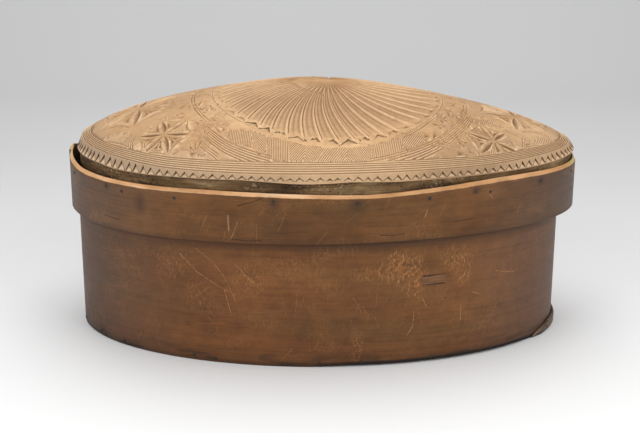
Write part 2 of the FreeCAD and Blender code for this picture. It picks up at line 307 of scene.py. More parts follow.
def shaded(colour, tone):
    return mix(1.0, colour, tone, "MULTIPLY")


def toned(colour, share, value, stops):
    """Colour made lighter and darker by the tones that a value picks from the stops."""
    tone = ramp(value, stops)
    return mix(share, colour, shaded(colour, tone))


def largest(values):
    """The largest of several masks."""
    found = None
    for value in values:
        found = value if found is None else larger(found, value)
    return found


def finish_material(colour, rough, height=None, bump_distance=0.2 * MM, **constants):
    """Principled surface. Constants are set on the shader's own sockets."""
    shader = add("ShaderNodeBsdfPrincipled", {"Base Color": colour, "Roughness": rough})
    for socket, value in constants.items():
        shader.inputs[socket.replace("_", " ")].default_value = value
    if height is not None:
        bump = add("ShaderNodeBump", {"Height": height, "Distance": bump_distance})
        tree.links.new(bump.outputs[0], shader.inputs["Normal"])
    add("ShaderNodeOutputMaterial", {0: shader.outputs[0]})


# %% Floor and backdrop
FLOOR_COLOUR = (0.835, 0.835, 0.835)
UPRIGHT_SHADE_COLOUR = (0.55, 0.55, 0.555)
SWEEP_FRONT = -2.2
SWEEP_BACK = 1.1
SWEEP_RADIUS = 0.8
SWEEP_HIGH = 3.0
SWEEP_HALF_WIDTH = 3.2
SWEEP_STEPS = 16


def sweep_mesh():
    """The sheet lies flat, bends up through a quarter circle and stands upright behind."""
    profile = [(SWEEP_FRONT, 0.0)]
    for step in range(SWEEP_STEPS + 1):
        turn = math.pi / 2 * step / SWEEP_STEPS
        profile.append((SWEEP_BACK + SWEEP_RADIUS * math.sin(turn), SWEEP_RADIUS * (1 - math.cos(turn))))
    profile.append((SWEEP_BACK + SWEEP_RADIUS, SWEEP_HIGH))
    corners = [(side * SWEEP_HALF_WIDTH, y, z - 0.02 * MM) for y, z in profile for side in (-1, 1)]
    faces = [(2 * i, 2 * i + 1, 2 * i + 3, 2 * i + 2) for i in range(len(profile) - 1)]
    mesh = bpy.data.meshes.new("sweep")
    mesh.from_pydata(corners, [], faces)
    mesh.polygons.foreach_set("use_smooth", [True] * len(mesh.polygons))
    return mesh


sheet_material = new_material("studio_sheet")
where = object_place()
split = apart(where)
# Painted shade: the sheet turns from the floor's grey to a darker grey as it rises and recedes, standing in
# for the light falling off.
rise = times(split[2], 1.6, clamp=True)
far = add("ShaderNodeMapRange", {0: split[1], 1: -0.45, 2: 0.75}, interpolation_type="SMOOTHSTEP")
painted_falloff = larger(rise, far.outputs[0])
finish_material(mix(painted_falloff, FLOOR_COLOUR, UPRIGHT_SHADE_COLOUR), 0.9, Specular_IOR_Level=0.0)
sweep = new_object("sweep", sweep_mesh())
sweep.data.materials.append(sheet_material)

# %% Lamps and world
# Name, place, the point that it looks at, width of its square and power.
LAMPS = (
    ("lamp_above", (0.0, 0.40, 1.75), (0.0, 0.0, 0.15), 1.7, 20.0),
    ("lamp_left", (-1.55, -1.35, 1.05), (0.0, 0.0, 0.10), 1.3, 17.0),
    ("lamp_right", (1.55, -1.35, 1.15), (0.0, 0.0, 0.10), 1.3, 17.0),
)
WORLD_STRENGTH = 0.58

for name, place, target, width, power in LAMPS:
    lamp = bpy.data.lights.new(name, "AREA")
    lamp.shape = "SQUARE"
    lamp.size = width
    lamp.energy = power
    made = new_object(name, lamp)
    made.location = place
    made.rotation_mode = "QUATERNION"
    made.rotation_quaternion = (Vector(target) - Vector(place)).to_track_quat("-Z", "Y")
world = bpy.data.worlds.new("studio")
scene.world = world
world.use_nodes = True
backdrop = world.node_tree.nodes["Background"]
backdrop.inputs[0].default_value = (1.0, 1.0, 1.0, 1.0)
backdrop.inputs[1].default_value = WORLD_STRENGTH
scene.view_settings.view_transform = "Standard"

# %% [markdown]
# ## Bent strips as rings of columns
# The wall and the lid's band are the same kind of thing: a thin board whose cross-section is
# carried round an oval. A curve with a bevel would do it, but then the foot and the top edge
# would stay perfectly level. Here each place round the oval has its own column of points, so a
# worn foot, a wavy edge and the thicker lap are plain numbers. The strip also gets a UV map in
# metres, along the board and up it, so that the grain runs round with the bend.

# %% A strip from columns


def build_mesh(name, points, faces, uv=None, smooth_angle=38):
    """Mesh from numpy points and a list of faces. UV values are given corner by corner."""
    mesh = bpy.data.meshes.new(name)
    mesh.from_pydata([tuple(point) for point in points], [], faces)
    mesh.update()
    if uv is not None:
        layer = mesh.uv_layers.new(name="board")
        layer.data.foreach_set("uv", np.asarray(uv, np.float32).ravel())
    mesh.polygons.foreach_set("use_smooth", [True] * len(mesh.polygons))
    mesh.set_sharp_from_angle(angle=math.radians(smooth_angle))
    return new_object(name, mesh)


def set_attribute(target, name, values):
    layer = target.data.attributes.new(name, "FLOAT", "POINT")
    layer.data.foreach_set("value", np.asarray(values, np.float32))


def in_columns(section, count):
    """The same cross-section for every column: how far out and how high each of its points is."""
    return np.repeat(section[None, :, 0], count, 0), np.repeat(section[None, :, 1], count, 0)


def strip_piece(name, shape, shares, out, level, closed=True):
    """Strip whose column i is a loop of points at out[i] from the oval and height level[i].

    Loops run up the outer face, over the top, down the inner face and back along the foot."""
    columns, rows = out.shape
    x, y = oval_xy(shape, np.repeat(shares[:, None], rows, 1), out)
    points = np.stack([x, y, level], -1).reshape(-1, 3)
    run = oval_run(shape, shares % 1.0) + np.floor(shares) * oval_run(shape, 1.0)
    side = np.concatenate([[0], np.cumsum(np.hypot(np.diff(out[0]), np.diff(level[0])))])
    faces, uv = [], []
    last = columns if closed else columns - 1
    for i in range(last):
        j = (i + 1) % columns
        run_j = run[j] if j else run[i] + 0.5 * MM
        for row in range(rows):
            above = (row + 1) % rows
            side_above = side[above] if above else side[row] + WALL_THICK
            faces.append((i * rows + row, j * rows + row, j * rows + above, i * rows + above))
            uv += [(run[i], side[row]), (run_j, side[row]), (run_j, side_above), (run[i], side_above)]
    if not closed:
        for column, order in ((0, range(rows)), (columns - 1, range(rows)[::-1])):
            faces.append(tuple(column * rows + row for row in order))
            uv += [(run[column], side[row]) for row in order]
    return build_mesh(name, points, faces, uv)


def smooth_noise(share, waves, seed):
    """Sum of a few waves round the oval, between about -1 and 1, the same at both ends of a turn."""
    draw = random.Random(seed)
    total = np.zeros_like(np.asarray(share, float))
    for wave in range(1, waves + 1):
        total += draw.uniform(0.5, 1) / wave ** 0.6 * np.sin(2 * np.pi * (wave * share + draw.random()))
    return total / max(1.0, 0.9 * math.sqrt(waves))


def swell(share, start, end, soft):
    """1 between two shares of a turn and 0 outside, with soft ends."""
    rise = np.clip((share - start) / soft, 0, 1)
    fall = np.clip((end - share) / soft, 0, 1)
    return rise * rise * (3 - 2 * rise) * fall * fall * (3 - 2 * fall)


# %% [markdown]
# ## The wall
# The wall's outer end lies over its inner end at the back, where a column of nails holds it. The
# lap is a ramp in how far the strip stands out, with one sudden step back at the blunt end. The
# foot is worn and has lifted off the bottom board by a millimetre or two at the right of the
# front, which leaves a narrow gap; the black line along it is painted shadow on the foot's lowest edge.

# %% Wall
WALL_LAP_SHARE = 0.215
WALL_LAP_REACH = 95.0 * MM
WALL_LAP_OUT = 2.0 * MM
WALL_COLUMNS = 440
WALL_FACE_ROWS = 20
FOOT_LIFT = 2.2 * MM
EDGE_ROUND = 0.9 * MM

wall_shares = WALL_LAP_SHARE + even_shares(wall_oval, WALL_COLUMNS)
wall_shares = np.append(wall_shares, WALL_LAP_SHARE + 0.9999)
lap_share = WALL_LAP_REACH / oval_run(wall_oval, 1.0)
lap_ramp = np.clip(1 - (wall_shares - WALL_LAP_SHARE) / lap_share, 0, 1) * WALL_LAP_OUT
lap_ramp[-1] = 0
uneven = (smooth_noise(wall_shares, 9, 3) - 1) * 0.22 * MM
foot_lift = FOOT_LIFT * swell(wall_shares % 1.0, 0.745, 0.925, 0.03)
foot_lift = foot_lift * (0.75 + 0.35 * smooth_noise(wall_shares, 14, 5))
foot_lift = np.clip(foot_lift, 0, None) + np.clip(smooth_noise(wall_shares, 17, 8), 0, 1) * 0.35 * MM
top_dip = np.clip(smooth_noise(wall_shares, 11, 6), 0, 1) * 0.6 * MM


def strip_section(thick, high, face_rows, edge):
    """Loop of (out, height) pairs round a board's cross-section, edges rounded off."""
    straight = high - 2 * edge
    rows = [(-edge, 0.0), (0.0, edge)]
    rows += [(0.0, edge + straight * row / face_rows) for row in range(1, face_rows)]
    rows += [(0.0, high - edge), (-edge * 0.3, high - edge * 0.3), (-edge, high)]
    rows += [(-thick + edge, high), (-thick + edge * 0.3, high - edge * 0.3), (-thick, high - edge)]
    inner_rows = face_rows // 2
    rows += [(-thick, edge + straight * (1 - row / inner_rows)) for row in range(1, inner_rows)]
    rows += [(-thick, edge), (-thick + edge, 0.0)]
    return np.array(rows)


section = strip_section(WALL_THICK, WALL_TOP, WALL_FACE_ROWS, EDGE_ROUND)
wall_out, wall_level = in_columns(section, len(wall_shares))
outer_face = section[:, 0] > -WALL_THICK / 2
wall_out[:, outer_face] += (lap_ramp + uneven)[:, None]
height_share = wall_level / WALL_TOP
wall_level += foot_lift[:, None] * np.clip(1 - height_share * 4, 0, 1)
wall_level -= top_dip[:, None] * np.clip(height_share * 4 - 3, 0, 1)
body_wall = strip_piece("bent_wall", wall_oval, wall_shares, wall_out, wall_level)
print("wall:", len(body_wall.data.polygons), "faces, lap over", round(WALL_LAP_REACH / MM), "mm")

# %% [markdown]
# ## The lid's band
# The band is a narrower strip of the same wood. Its top edge was shaved to a slope and is worn
# to the colour of honey, and it never was level: it dips in the middle of the front, climbs at
# the right of it and rises towards the board at the left end. Its outer end lies over the inner
# end at the left, and the blunt end has split into two tongues.

# %% Band
BAND_LAP_SHARE = 0.505
BAND_LAP_REACH = 120.0 * MM
BAND_LAP_OUT = 1.4 * MM
BAND_COLUMNS = 460
BAND_FACE_ROWS = 12
BEVEL_HIGH = 4.2 * MM
BEVEL_DEEP = 2.2 * MM
# Share of a turn and how far the top edge lies above its mean level there, in millimetres.
TOP_EDGE_WAVES = (
    (0.00, 0.6), (0.25, 0.4), (0.40, -0.8), (0.47, 2.0), (0.495, 7.0), (0.5046, 9.5), (0.5056, 6.4),
    (0.527, 4.0), (0.545, 2.2), (0.563, 0.1), (0.60, -0.9), (0.64, -0.8), (0.68, 0.1), (0.715, -0.6),
    (0.735, -1.6),
    (0.755, -2.5), (0.775, -3.4), (0.795, -2.2), (0.81, -0.9), (0.825, 0.2), (0.84, 1.5), (0.862, 2.7),
    (0.885, 2.6), (0.92, 1.2), (0.96, 0.6), (1.00, 0.6))

band_lap_share = BAND_LAP_REACH / oval_run(band_oval, 1.0)
band_shares = BAND_LAP_SHARE - 1 + even_shares(band_oval, BAND_COLUMNS) + 0.0004
band_shares = np.append(band_shares, BAND_LAP_SHARE - 0.0001)
band_ramp = np.clip(1 - (BAND_LAP_SHARE - band_shares) / band_lap_share, 0, 1) * BAND_LAP_OUT
bevel_line = BAND_TOP - BAND_FOOT - BEVEL_HIGH
section = [(-0.5 * MM, 0.0), (0.0, 0.5 * MM)]
section += [(0.0, bevel_line * row / BAND_FACE_ROWS) for row in range(1, BAND_FACE_ROWS + 1)]
section += [(-BEVEL_DEEP * 0.45, bevel_line + BEVEL_HIGH * 0.5), (-BEVEL_DEEP, bevel_line + BEVEL_HIGH)]
section += [(-BAND_THICK + 0.5 * MM, bevel_line + BEVEL_HIGH)]
section += [(-BAND_THICK, bevel_line + BEVEL_HIGH - 0.5 * MM)]
section += [(-BAND_THICK, bevel_line * (1 - row / 6)) for row in range(0, 6)]
section += [(-BAND_THICK, 0.4 * MM)]
section = np.array(section)
band_out, band_level = in_columns(section, len(band_shares))
outer_face = section[:, 0] > -BAND_THICK / 2
band_uneven = (smooth_noise(band_shares, 13, 21) - 1) * 0.25 * MM
band_out[:, outer_face] += (band_ramp + band_uneven)[:, None]
edge_wave = np.interp(band_shares % 1.0, *zip(*TOP_EDGE_WAVES)) * MM
edge_wave = edge_wave + smooth_noise(band_shares, 40, 11) * 0.3 * MM
foot_wave = smooth_noise(band_shares, 12, 31) * 0.6 * MM + 0.5 * MM
height_share = band_level / (BAND_TOP - BAND_FOOT)
band_level = BAND_FOOT + band_level + edge_wave[:, None] * height_share ** 2
band_level += np.clip(foot_wave, 0, None)[:, None] * (1 - height_share)
lid_band = strip_piece("bent_band", band_oval, band_shares, band_out, band_level)
bevel_mask = np.zeros(band_out.shape)
bevel_rows = (section[:, 1] > bevel_line + 0.2 * BEVEL_HIGH) & outer_face
bevel_mask[:, bevel_rows | (section[:, 1] >= bevel_line + BEVEL_HIGH)] = 1.0
set_attribute(lid_band, "worn_edge", bevel_mask.ravel())
print("band:", len(lid_band.data.polygons), "faces, top edge wanders",
      round((edge_wave.max() - edge_wave.min()) / MM, 1), "mm")

# %% [markdown]
# ## Remnant of a lath, and a patch
# Round the right end a thin lath was once nailed over the worn foot, and a bent remnant is still
# there. Its front end broke off in a long slope with ragged fibres. On the front of the wall a
# small rectangle of wood fills a hole. Both are the same strip as above, only short and open.

# %% Lath
LATH_START = 0.9195
LATH_END = 1.06
LATH_THICK = 2.7 * MM
LATH_CLEAR = 0.15 * MM
LATH_HIGH = 9.6 * MM
LATH_COLUMNS = 60
# Share of a turn and height of the lath's broken top edge there, in millimetres.
LATH_EDGE = ((LATH_START, 2.0), (0.928, 5.6), (0.936, 6.6), (0.944, 8.6), (0.955, 9.4), (LATH_END, 9.6))

lath_shares = np.linspace(LATH_START, LATH_END, LATH_COLUMNS)
lath_rows = []
for share in lath_shares:
    high = float(np.interp(share, *zip(*LATH_EDGE))) * MM + dice.uniform(-0.5, 0.0) * MM
    taper = min(1.0, 0.35 + (share - LATH_START) / 0.02)
    outer = LATH_CLEAR + LATH_THICK * taper
    loop = [(outer - 0.8 * MM, 0.0), (outer, 0.8 * MM), (outer, high * 0.35), (outer + 0.1 * MM, high * 0.7),
            (outer - 0.5 * MM, high - 0.9 * MM * min(1, high / LATH_HIGH)), (outer - 1.4 * MM * taper, high),
            (LATH_CLEAR + 0.5 * MM, high), (LATH_CLEAR, high * 0.85), (LATH_CLEAR, high * 0.4),
            (LATH_CLEAR, 0.0)]
    lath_rows.append(loop)
lath_rows = np.array(lath_rows)
foot_lath = strip_piece(
    "foot_lath_remnant", wall_oval, lath_shares, lath_rows[:, :, 0], lath_rows[:, :, 1], False)

# %% Patch
PATCH_SHARE = 0.8233
PATCH_LONG = 18.4 * MM
PATCH_HIGH = 7.8 * MM
PATCH_LEVEL = 78.0 * MM
PATCH_DEEP = 2.2 * MM
PATCH_PROUD = 0.12 * MM

PATCH_X = float(oval_xy(wall_oval, PATCH_SHARE)[0])
half_share = PATCH_LONG / 2 / oval_run(wall_oval, 1.0)
patch_shares = np.linspace(PATCH_SHARE - half_share, PATCH_SHARE + half_share, 9)
low, high = PATCH_LEVEL - PATCH_HIGH / 2, PATCH_LEVEL + PATCH_HIGH / 2
patch_loop = np.array([
    (-PATCH_DEEP, low), (-0.3 * MM, low), (PATCH_PROUD, low + 0.6 * MM), (PATCH_PROUD, PATCH_LEVEL),
    (PATCH_PROUD, high - 0.6 * MM), (-0.3 * MM, high), (-PATCH_DEEP, high)])
patch_out, patch_level = in_columns(patch_loop, len(patch_shares))
patch_level += (np.linspace(-1, 1, 9) * 0.4 * MM)[:, None]
wall_patch = strip_piece("inlaid_patch", wall_oval, patch_shares, patch_out, patch_level, False)
print("lath:", len(foot_lath.data.polygons), "faces, patch:", len(wall_patch.data.polygons), "faces")

# %% [markdown]
# ## The lid board
# The board's top is a dome covered with chip carving: a whorl of hollow flutes in the middle,
# stars at both ends, straps of parallel grooves between them, and a border of fine lines with a
# row of teeth below it on the edge. Displacement of an even grid would blur such sharp cuts unless it
# had millions of faces. Here the carver's own lines are drawn flat, as seen from above, and the
# surface is triangulated so that every valley and every ridge is an edge of the mesh. Each point
# is then pushed into the dome by the depth of the deepest cut at its place.

# %% Dome
DOME_RISE = 55.5 * MM
GUARD = 0.06 * MM
# The board is a little out of level: its rim is higher at the left end than at the right.
RIM_TILT = 2.6 * MM
# The toothed edge is upright at the front and back and slopes at the ends of the oval.
EDGE_RUN = 5.0 * MM
EDGE_FROM = 0.6


def dome_inside(x, y):
    """Zero at the crest and one at the lip's edge, as the square of k."""
    along = (x - lip_oval["centre"]) / lip_oval["a"]
    across = y / (lip_oval["b"] * (1 - BOARD_EGG_SHARE * along))
    return along, along ** 2 + across ** 2


def dome_height(x, y):
    along, inside = dome_inside(x, y)
    rise = (1 - inside) * (1 - 0.22 * inside + 0.97 * inside ** 2) * (1 - 0.124 * along - 0.226 * along ** 2)
    return LIP_HIGH + DOME_RISE * rise - RIM_TILT * along ** 3 * inside - GUARD


def edge_run(turn):
    """How far inside the oval the toothed edge begins, in metres."""
    return EDGE_RUN * np.clip((np.abs(np.cos(turn)) - EDGE_FROM) / (1 - EDGE_FROM), 0, 1) ** 1.2


def border_reach(turn):
    """Distance from the oval's centre to its tangent, which turns k into millimetres."""
    a, b = lip_oval["a"], lip_oval["b"]
    return a * b / np.hypot(b * np.cos(turn), a * np.sin(turn))


def edge_point(turn, inset):
    """Point at a distance inside the lip's oval, in the direction of a turn."""
    k = 1 - inset / border_reach(turn)
    along = k * np.cos(turn)
    across = lip_oval["b"] * k * np.sin(turn) * (1 - BOARD_EGG_SHARE * along)
    return np.stack([lip_oval["centre"] + lip_oval["a"] * along, across], -1)


def dome_normal(x, y):
    reach = 0.5 * MM
    slope_x = (dome_height(x + reach, y) - dome_height(x - reach, y)) / (2 * reach)
    slope_y = (dome_height(x, y + reach) - dome_height(x, y - reach)) / (2 * reach)
    length = np.sqrt(1 + slope_x ** 2 + slope_y ** 2)
    return -slope_x / length, -slope_y / length, 1 / length


# %% The carver's cuts
BORDER_K = 0.944
carved_lines = []
carved_cuts = []


def inside_border(points, k=BORDER_K):
    return dome_inside(points[:, 0], points[:, 1])[1] < k * k


def add_line(points, keep, closed=False):
    """Keeps the runs of a line that lie where the cut is allowed."""
    points = np.asarray(points)
    if closed:
        points = np.concatenate([points, points[:1]])
    allowed = keep(points)
    turns = np.flatnonzero(allowed[1:] != allowed[:-1]) + 1
    for run, fine in zip(np.split(points, turns), np.split(allowed, turns)):
        if fine[0] and len(run) > 1:
            carved_lines.append(run)


def add_cut(box_points, depth_of, keep):
    low, high = np.min(box_points, 0), np.max(box_points, 0)
    carved_cuts.append((low, high, depth_of, keep))


def along_path(points, path):
    """Signed distance from a path, the length along it, and the path's whole length."""
    starts, ends = path[:-1], path[1:]
    spans = ends - starts
    lengths = np.hypot(spans[:, 0], spans[:, 1])
    reached = np.concatenate([[0], np.cumsum(lengths)])
    best = np.full(len(points), 1e9)
    signed = np.zeros(len(points))
    run = np.zeros(len(points))
    for start, span, length, before in zip(starts, spans, lengths, reached):
        rel = points - start
        share = np.clip((rel @ span) / length ** 2, 0, 1)
        gap = rel - share[:, None] * span
        distance = np.hypot(gap[:, 0], gap[:, 1])
        side = np.sign(span[0] * rel[:, 1] - span[1] * rel[:, 0])
        nearer = distance < best - 1e-9
        best[nearer] = distance[nearer]
        signed[nearer] = (distance * side)[nearer]
        run[nearer] = (before + share * length)[nearer]
    return signed, run, reached[-1]


def smooth_path(corners, step=3.0):
    """Smooth line in metres through corners given in millimetres."""
    corners = np.array(corners, float)
    if len(corners) == 2:
        count = max(2, int(np.hypot(*(corners[1] - corners[0])) / step) + 1)
        share = np.linspace(0, 1, count)[:, None]
        return (corners[0] * (1 - share) + corners[1] * share) * MM
    padded = np.concatenate([[2 * corners[0] - corners[1]], corners, [2 * corners[-1] - corners[-2]]])
    line = []
    for i in range(1, len(padded) - 2):
        before, here, there, after = padded[i - 1:i + 3]
        count = max(2, int(np.hypot(*(there - here)) / step))
        share = np.linspace(0, 1, count, endpoint=False)[:, None]
        line.append(0.5 * (2 * here + (there - before) * share
                           + (2 * before - 5 * here + 4 * there - after) * share ** 2
                           + (3 * here - before - 3 * there + after) * share ** 3))
    line.append(padded[-2:-1])
    return np.concatenate(line) * MM


def shifted(path, offset):
    """Path moved sideways to its left."""
    slope = np.gradient(path, axis=0)
    slope /= np.hypot(slope[:, 0], slope[:, 1])[:, None]
    return path + np.stack([-slope[:, 1], slope[:, 0]], 1) * offset


def carve_grooves(corners, count, pitch, deep, keep=inside_border, fade=1.5):
    """Side by side V grooves along a smooth line. Sizes are in millimetres."""
    path = smooth_path(corners)
    pitch, deep, fade = pitch * MM, deep * MM, fade * MM
    half = count * pitch / 2
    for side in range(2 * count + 1):
        add_line(shifted(path, (side - count) * pitch / 2), keep)

    def depth_of(points):
        signed, run, whole = along_path(points, path)
        place = (signed / pitch + count / 2) % 1.0
        depth = deep * (1 - np.abs(2 * place - 1))
        ends = np.clip(np.minimum(run, whole - run) / fade, 0, 1)
        return np.where(np.abs(signed) <= half + 1e-6, depth * ends, 0)

    add_cut(np.concatenate([shifted(path, half), shifted(path, -half)]), depth_of, keep)


def carve_leaf(start, end, wide, deep, lean=0.0, keep=inside_border, bend=0.0):
    """Pointed leaf with one valley. Lean moves the valley towards one side."""
    start, end = np.array(start, float), np.array(end, float)
    middle = (start + end) / 2 + np.array([start[1] - end[1], end[0] - start[0]]) * bend
    path = smooth_path([start, middle, end], 2.5) if bend else smooth_path([start, end], 2.5)
    share = np.linspace(0, 1, len(path))
    half = wide / 2 * MM * np.sin(np.pi * share) ** 0.85
    half[0] = half[-1] = 0
    for side in (-1, lean, 1):
        add_line(shifted(path, (half * side)[:, None]), keep)
    deep = deep * MM

    def depth_of(points):
        signed, run, whole = along_path(points, path)
        along = np.clip(run / whole, 0, 1)
        reach = wide / 2 * MM * np.sin(np.pi * along) ** 0.85 + 1e-9
        across = np.clip(signed / reach, -1, 1)
        slope_share = np.minimum((1 + across) / (1 + lean), (1 - across) / (1 - lean))
        return deep * np.sin(np.pi * along) ** 0.7 * np.clip(slope_share, 0, 1)

    margin = wide * MM
    add_cut(np.concatenate([path - margin, path + margin]), depth_of, keep)


def carve_hatch(corners, degrees, pitch, deep, keep=inside_border):
    """Fills a field with outward corners only with parallel V grooves."""
    corners = np.array(corners, float) * MM
    pitch, deep = pitch * MM, deep * MM
    middle = corners.mean(0)
    turn = math.radians(degrees)
    run = np.array([math.cos(turn), math.sin(turn)])
    across = np.array([-run[1], run[0]])
    edges = list(zip(corners, np.roll(corners, -1, 0)))

    def left_of(a, b, x, y):
        return (b[0] - a[0]) * (y - a[1]) - (b[1] - a[1]) * (x - a[0])

    def is_inside(points):
        fine = np.ones(len(points), bool)
        for a, b in edges:
            sign = 1 if left_of(a, b, *middle) > 0 else -1
            fine &= left_of(a, b, *points.T) * sign >= -1e-9
        return fine

    reach = np.max(np.hypot(*(corners - middle).T))
    count = int(reach / pitch) + 1
    steps = np.arange(-reach, reach, 1.4 * MM)
    for line in range(-2 * count, 2 * count + 1):
        path = middle + across * line * pitch / 2 + run * steps[:, None]
        add_line(path, lambda points: keep(points) & is_inside(points))

    def depth_of(points):
        place = ((points - middle) @ across / pitch) % 1.0
        return np.where(is_inside(points), deep * (1 - np.abs(2 * place - 1)), 0)

    add_cut(corners, depth_of, keep)


def carve_chip(corners, deep, deepest=(1 / 3, 1 / 3, 1 / 3), keep=inside_border):
    """Three-sided chip whose facets meet at one deep point, given as shares of its corners."""
    corners = np.array(corners, float) * MM
    deepest = np.array(deepest)
    low_point = deepest @ corners
    add_line(corners, keep, closed=True)
    for corner in corners:
        add_line(np.array([corner, low_point]), keep)
    deep = deep * MM
    spans = np.array([corners[1] - corners[0], corners[2] - corners[0]]).T
    inverse = np.linalg.inv(spans)

    def depth_of(points):
        shares = (points - corners[0]) @ inverse.T
        first = 1 - shares.sum(1)
        slopes = np.column_stack([first, shares]) / deepest
        return deep * np.clip(slopes.min(1), 0, 1)

    add_cut(corners, depth_of, keep)


# %% [markdown]
# ### Whorl
# Forty-four hollow flutes start close to the worn centre and turn slightly as they run out. Two
# flutes meet in a sharp ridge, and each one ends in a deep arched notch, so that from the side
# the whorl looks like the rim of a shell. A thin line runs round it and shows at its sides.

# %% Whorl
WHORL_CENTRE = np.array([8.6, -6.0]) * MM
WHORL_WIDE = 0.943
WHORL_HIGH = 1.026
FLUTES = 44
FLUTE_START = 4.5
FLUTE_GROW = 15.0
FLUTE_END = 112.0
FLUTE_DEEP = 2.4
FLUTE_RIM_SHARE = 0.5
NOTCH_REACH = 6.4
NOTCH_DEEP = 2.5
FLUTE_UNEVEN = 0.10
# How deep the notches and flutes are at each turn round the whorl: the right of it is shallower.
NOTCH_TURNS = (-180, -150, -125, -90, -60, -42, 0, 60, 180)
NOTCH_SHARES = (0.55, 0.70, 0.95, 1.0, 0.9, 0.40, 0.25, 0.6, 0.55)
FLUTE_SHARES = (1.0, 1.05, 1.1, 1.0, 0.95, 0.85, 0.65, 0.9, 1.0)
WALL_RUN = 0.95
ARCH_TOP = 1.3
RING_RADIUS = 113.9
WHORL_ZONE = 115.2
# Cross-section of a flute from one ridge to the next: place across and share of the depth.
FLUTE_SECTION = ((0.0, 0.0), (0.09, 0.74), (0.18, 0.46), (0.42, 1.0), (0.54, 0.72), (0.80, 0.90), (1.0, 0.0))
FINE_PLACES = (0.09, 0.18, 0.54)


def whorl_point(radius_mm, turn):
    turn = np.asarray(turn, float)
    radius = np.asarray(radius_mm, float) * MM
    return np.stack([WHORL_CENTRE[0] + radius * WHORL_WIDE * np.cos(turn),
                     WHORL_CENTRE[1] + radius * WHORL_HIGH * np.sin(turn)], -1)


def whorl_polar(points):
    x = (points[:, 0] - WHORL_CENTRE[0]) / WHORL_WIDE
    y = (points[:, 1] - WHORL_CENTRE[1]) / WHORL_HIGH
    return np.hypot(x, y) / MM, np.arctan2(y, x)


def flute_twist(radius_mm):
    return np.radians(13.0) * np.clip((radius_mm - 28.0) / 82.0, 0, 2) ** 1.5


def everywhere(points):
    return np.ones(len(points), bool)


def share_at_turn(turn, shares):
    return np.interp((np.degrees(turn) + 180) % 360 - 180, NOTCH_TURNS, shares)


# Where each flute begins, in turns round the whorl. They were spaced by eye.
flute_edges = np.array([(flute + dice.uniform(-FLUTE_UNEVEN, FLUTE_UNEVEN)) / FLUTES
                        for flute in range(FLUTES)])
flute_edges = np.append(flute_edges, flute_edges[0] + 1)


def flute_depth(points):
    radius, turn = whorl_polar(points)
    share = ((turn - flute_twist(radius)) / (2 * np.pi) - flute_edges[0]) % 1.0 + flute_edges[0]
    flute = np.clip(np.searchsorted(flute_edges, share, side="right") - 1, 0, FLUTES - 1)
    place = (share - flute_edges[flute]) / (flute_edges[flute + 1] - flute_edges[flute])
    places, shares = zip(*FLUTE_SECTION)
    hollow = np.interp(place, places, shares) * share_at_turn(turn, FLUTE_SHARES)
    grow = np.clip((radius - FLUTE_START) / FLUTE_GROW, 0, 1)
    fade = 1 - FLUTE_RIM_SHARE * np.clip((radius - 92) / (FLUTE_END - 92), 0, 1)
    deep = FLUTE_DEEP * MM * hollow * grow * fade * (0.5 + 0.5 * radius / FLUTE_END)
    return np.where(radius < FLUTE_END + 0.05, deep, 0)


notches = []


def carve_notch(left, right, apex, deep):
    """Chip at a flute's end: a steep wall under a pointed arch, and a floor that rises outwards."""
    left, right, apex = (np.array(point) for point in (left, right, apex))
    base = (left + right) / 2
    reach = np.hypot(*(apex - base))
    inward = (apex - base) / reach
    across = (right - left) / np.hypot(*(right - left))
    half = np.hypot(*(right - left)) / 2
    lean = (apex - base) @ across
    notches.append((base, inward, across, half, reach, lean))

    def arch(shrink):
        top = apex - inward * shrink * ARCH_TOP
        steps = np.linspace(0, 1, 5)[:, None]
        foot_left, foot_right = left + across * shrink, right - across * shrink
        falling = top * (1 - steps) + foot_right * steps
        return np.concatenate([foot_left * (1 - steps) + top * steps, falling[1:]])

    add_line(arch(0.0), everywhere)
    add_line(arch(WALL_RUN * MM), everywhere)
    add_line(np.array([left, right]), everywhere)

    def depth_of(points):
        rel = points - base
        up = rel @ inward
        side = rel @ across
        share = np.clip(up / reach, 0, 1)
        limit = half * (1 - share)
        gap = limit - np.abs(side - lean * share)
        floor_depth = deep * MM * (0.08 + 0.92 * share ** 0.5)
        within = (gap > WALL_RUN * 0.5 * MM * (1 - share)) & (up > 0.05 * MM) & (up < reach - WALL_RUN * MM)
        return np.where(within, floor_depth, 0)

    add_cut(np.array([left, right, apex]), depth_of, everywhere)


flute_radii = np.concatenate([[FLUTE_START, 9, 14], np.linspace(19, 98, 15), [103, FLUTE_END - NOTCH_REACH]])
for flute in range(FLUTES):
    slide = dice.uniform(-0.02, 0.18)
    start, end = flute_edges[flute] * 2 * np.pi, flute_edges[flute + 1] * 2 * np.pi
    first, last = start + flute_twist(FLUTE_END), end + flute_twist(FLUTE_END)
    share = float(share_at_turn((first + last) / 2, NOTCH_SHARES))
    reach = NOTCH_REACH * dice.uniform(0.85, 1.2) * (0.55 + 0.45 * share)
    for place, share in FLUTE_SECTION[:-1]:
        radii = flute_radii[6:] if place in FINE_PLACES else flute_radii
        if place == 0:
            radii = np.append(flute_radii, [FLUTE_END - NOTCH_REACH / 2, FLUTE_END])
        turn = start + place * (end - start) + flute_twist(radii)
        add_line(whorl_point(radii, turn), everywhere)
    middle = first + (0.5 + slide) * (last - first)
    carve_notch(whorl_point(FLUTE_END, first), whorl_point(FLUTE_END, last),
                whorl_point(FLUTE_END - reach, middle), NOTCH_DEEP * share * dice.uniform(0.85, 1.15))
ring_turns = np.linspace(0, 2 * np.pi, 240, endpoint=False)
add_cut(whorl_point(FLUTE_END + 1, ring_turns), flute_depth, everywhere)
for side in (-0.55, 0, 0.55):
    add_line(whorl_point(RING_RADIUS + side, ring_turns), everywhere, closed=True)


def ring_depth(points):
    radius, turn = whorl_polar(points)
    at_sides = np.clip(1.7 * np.abs(np.cos(turn)) - 0.45, 0, 1)
    return 0.6 * MM * at_sides * np.clip(1 - np.abs(radius - RING_RADIUS) / 0.55, 0, 1)


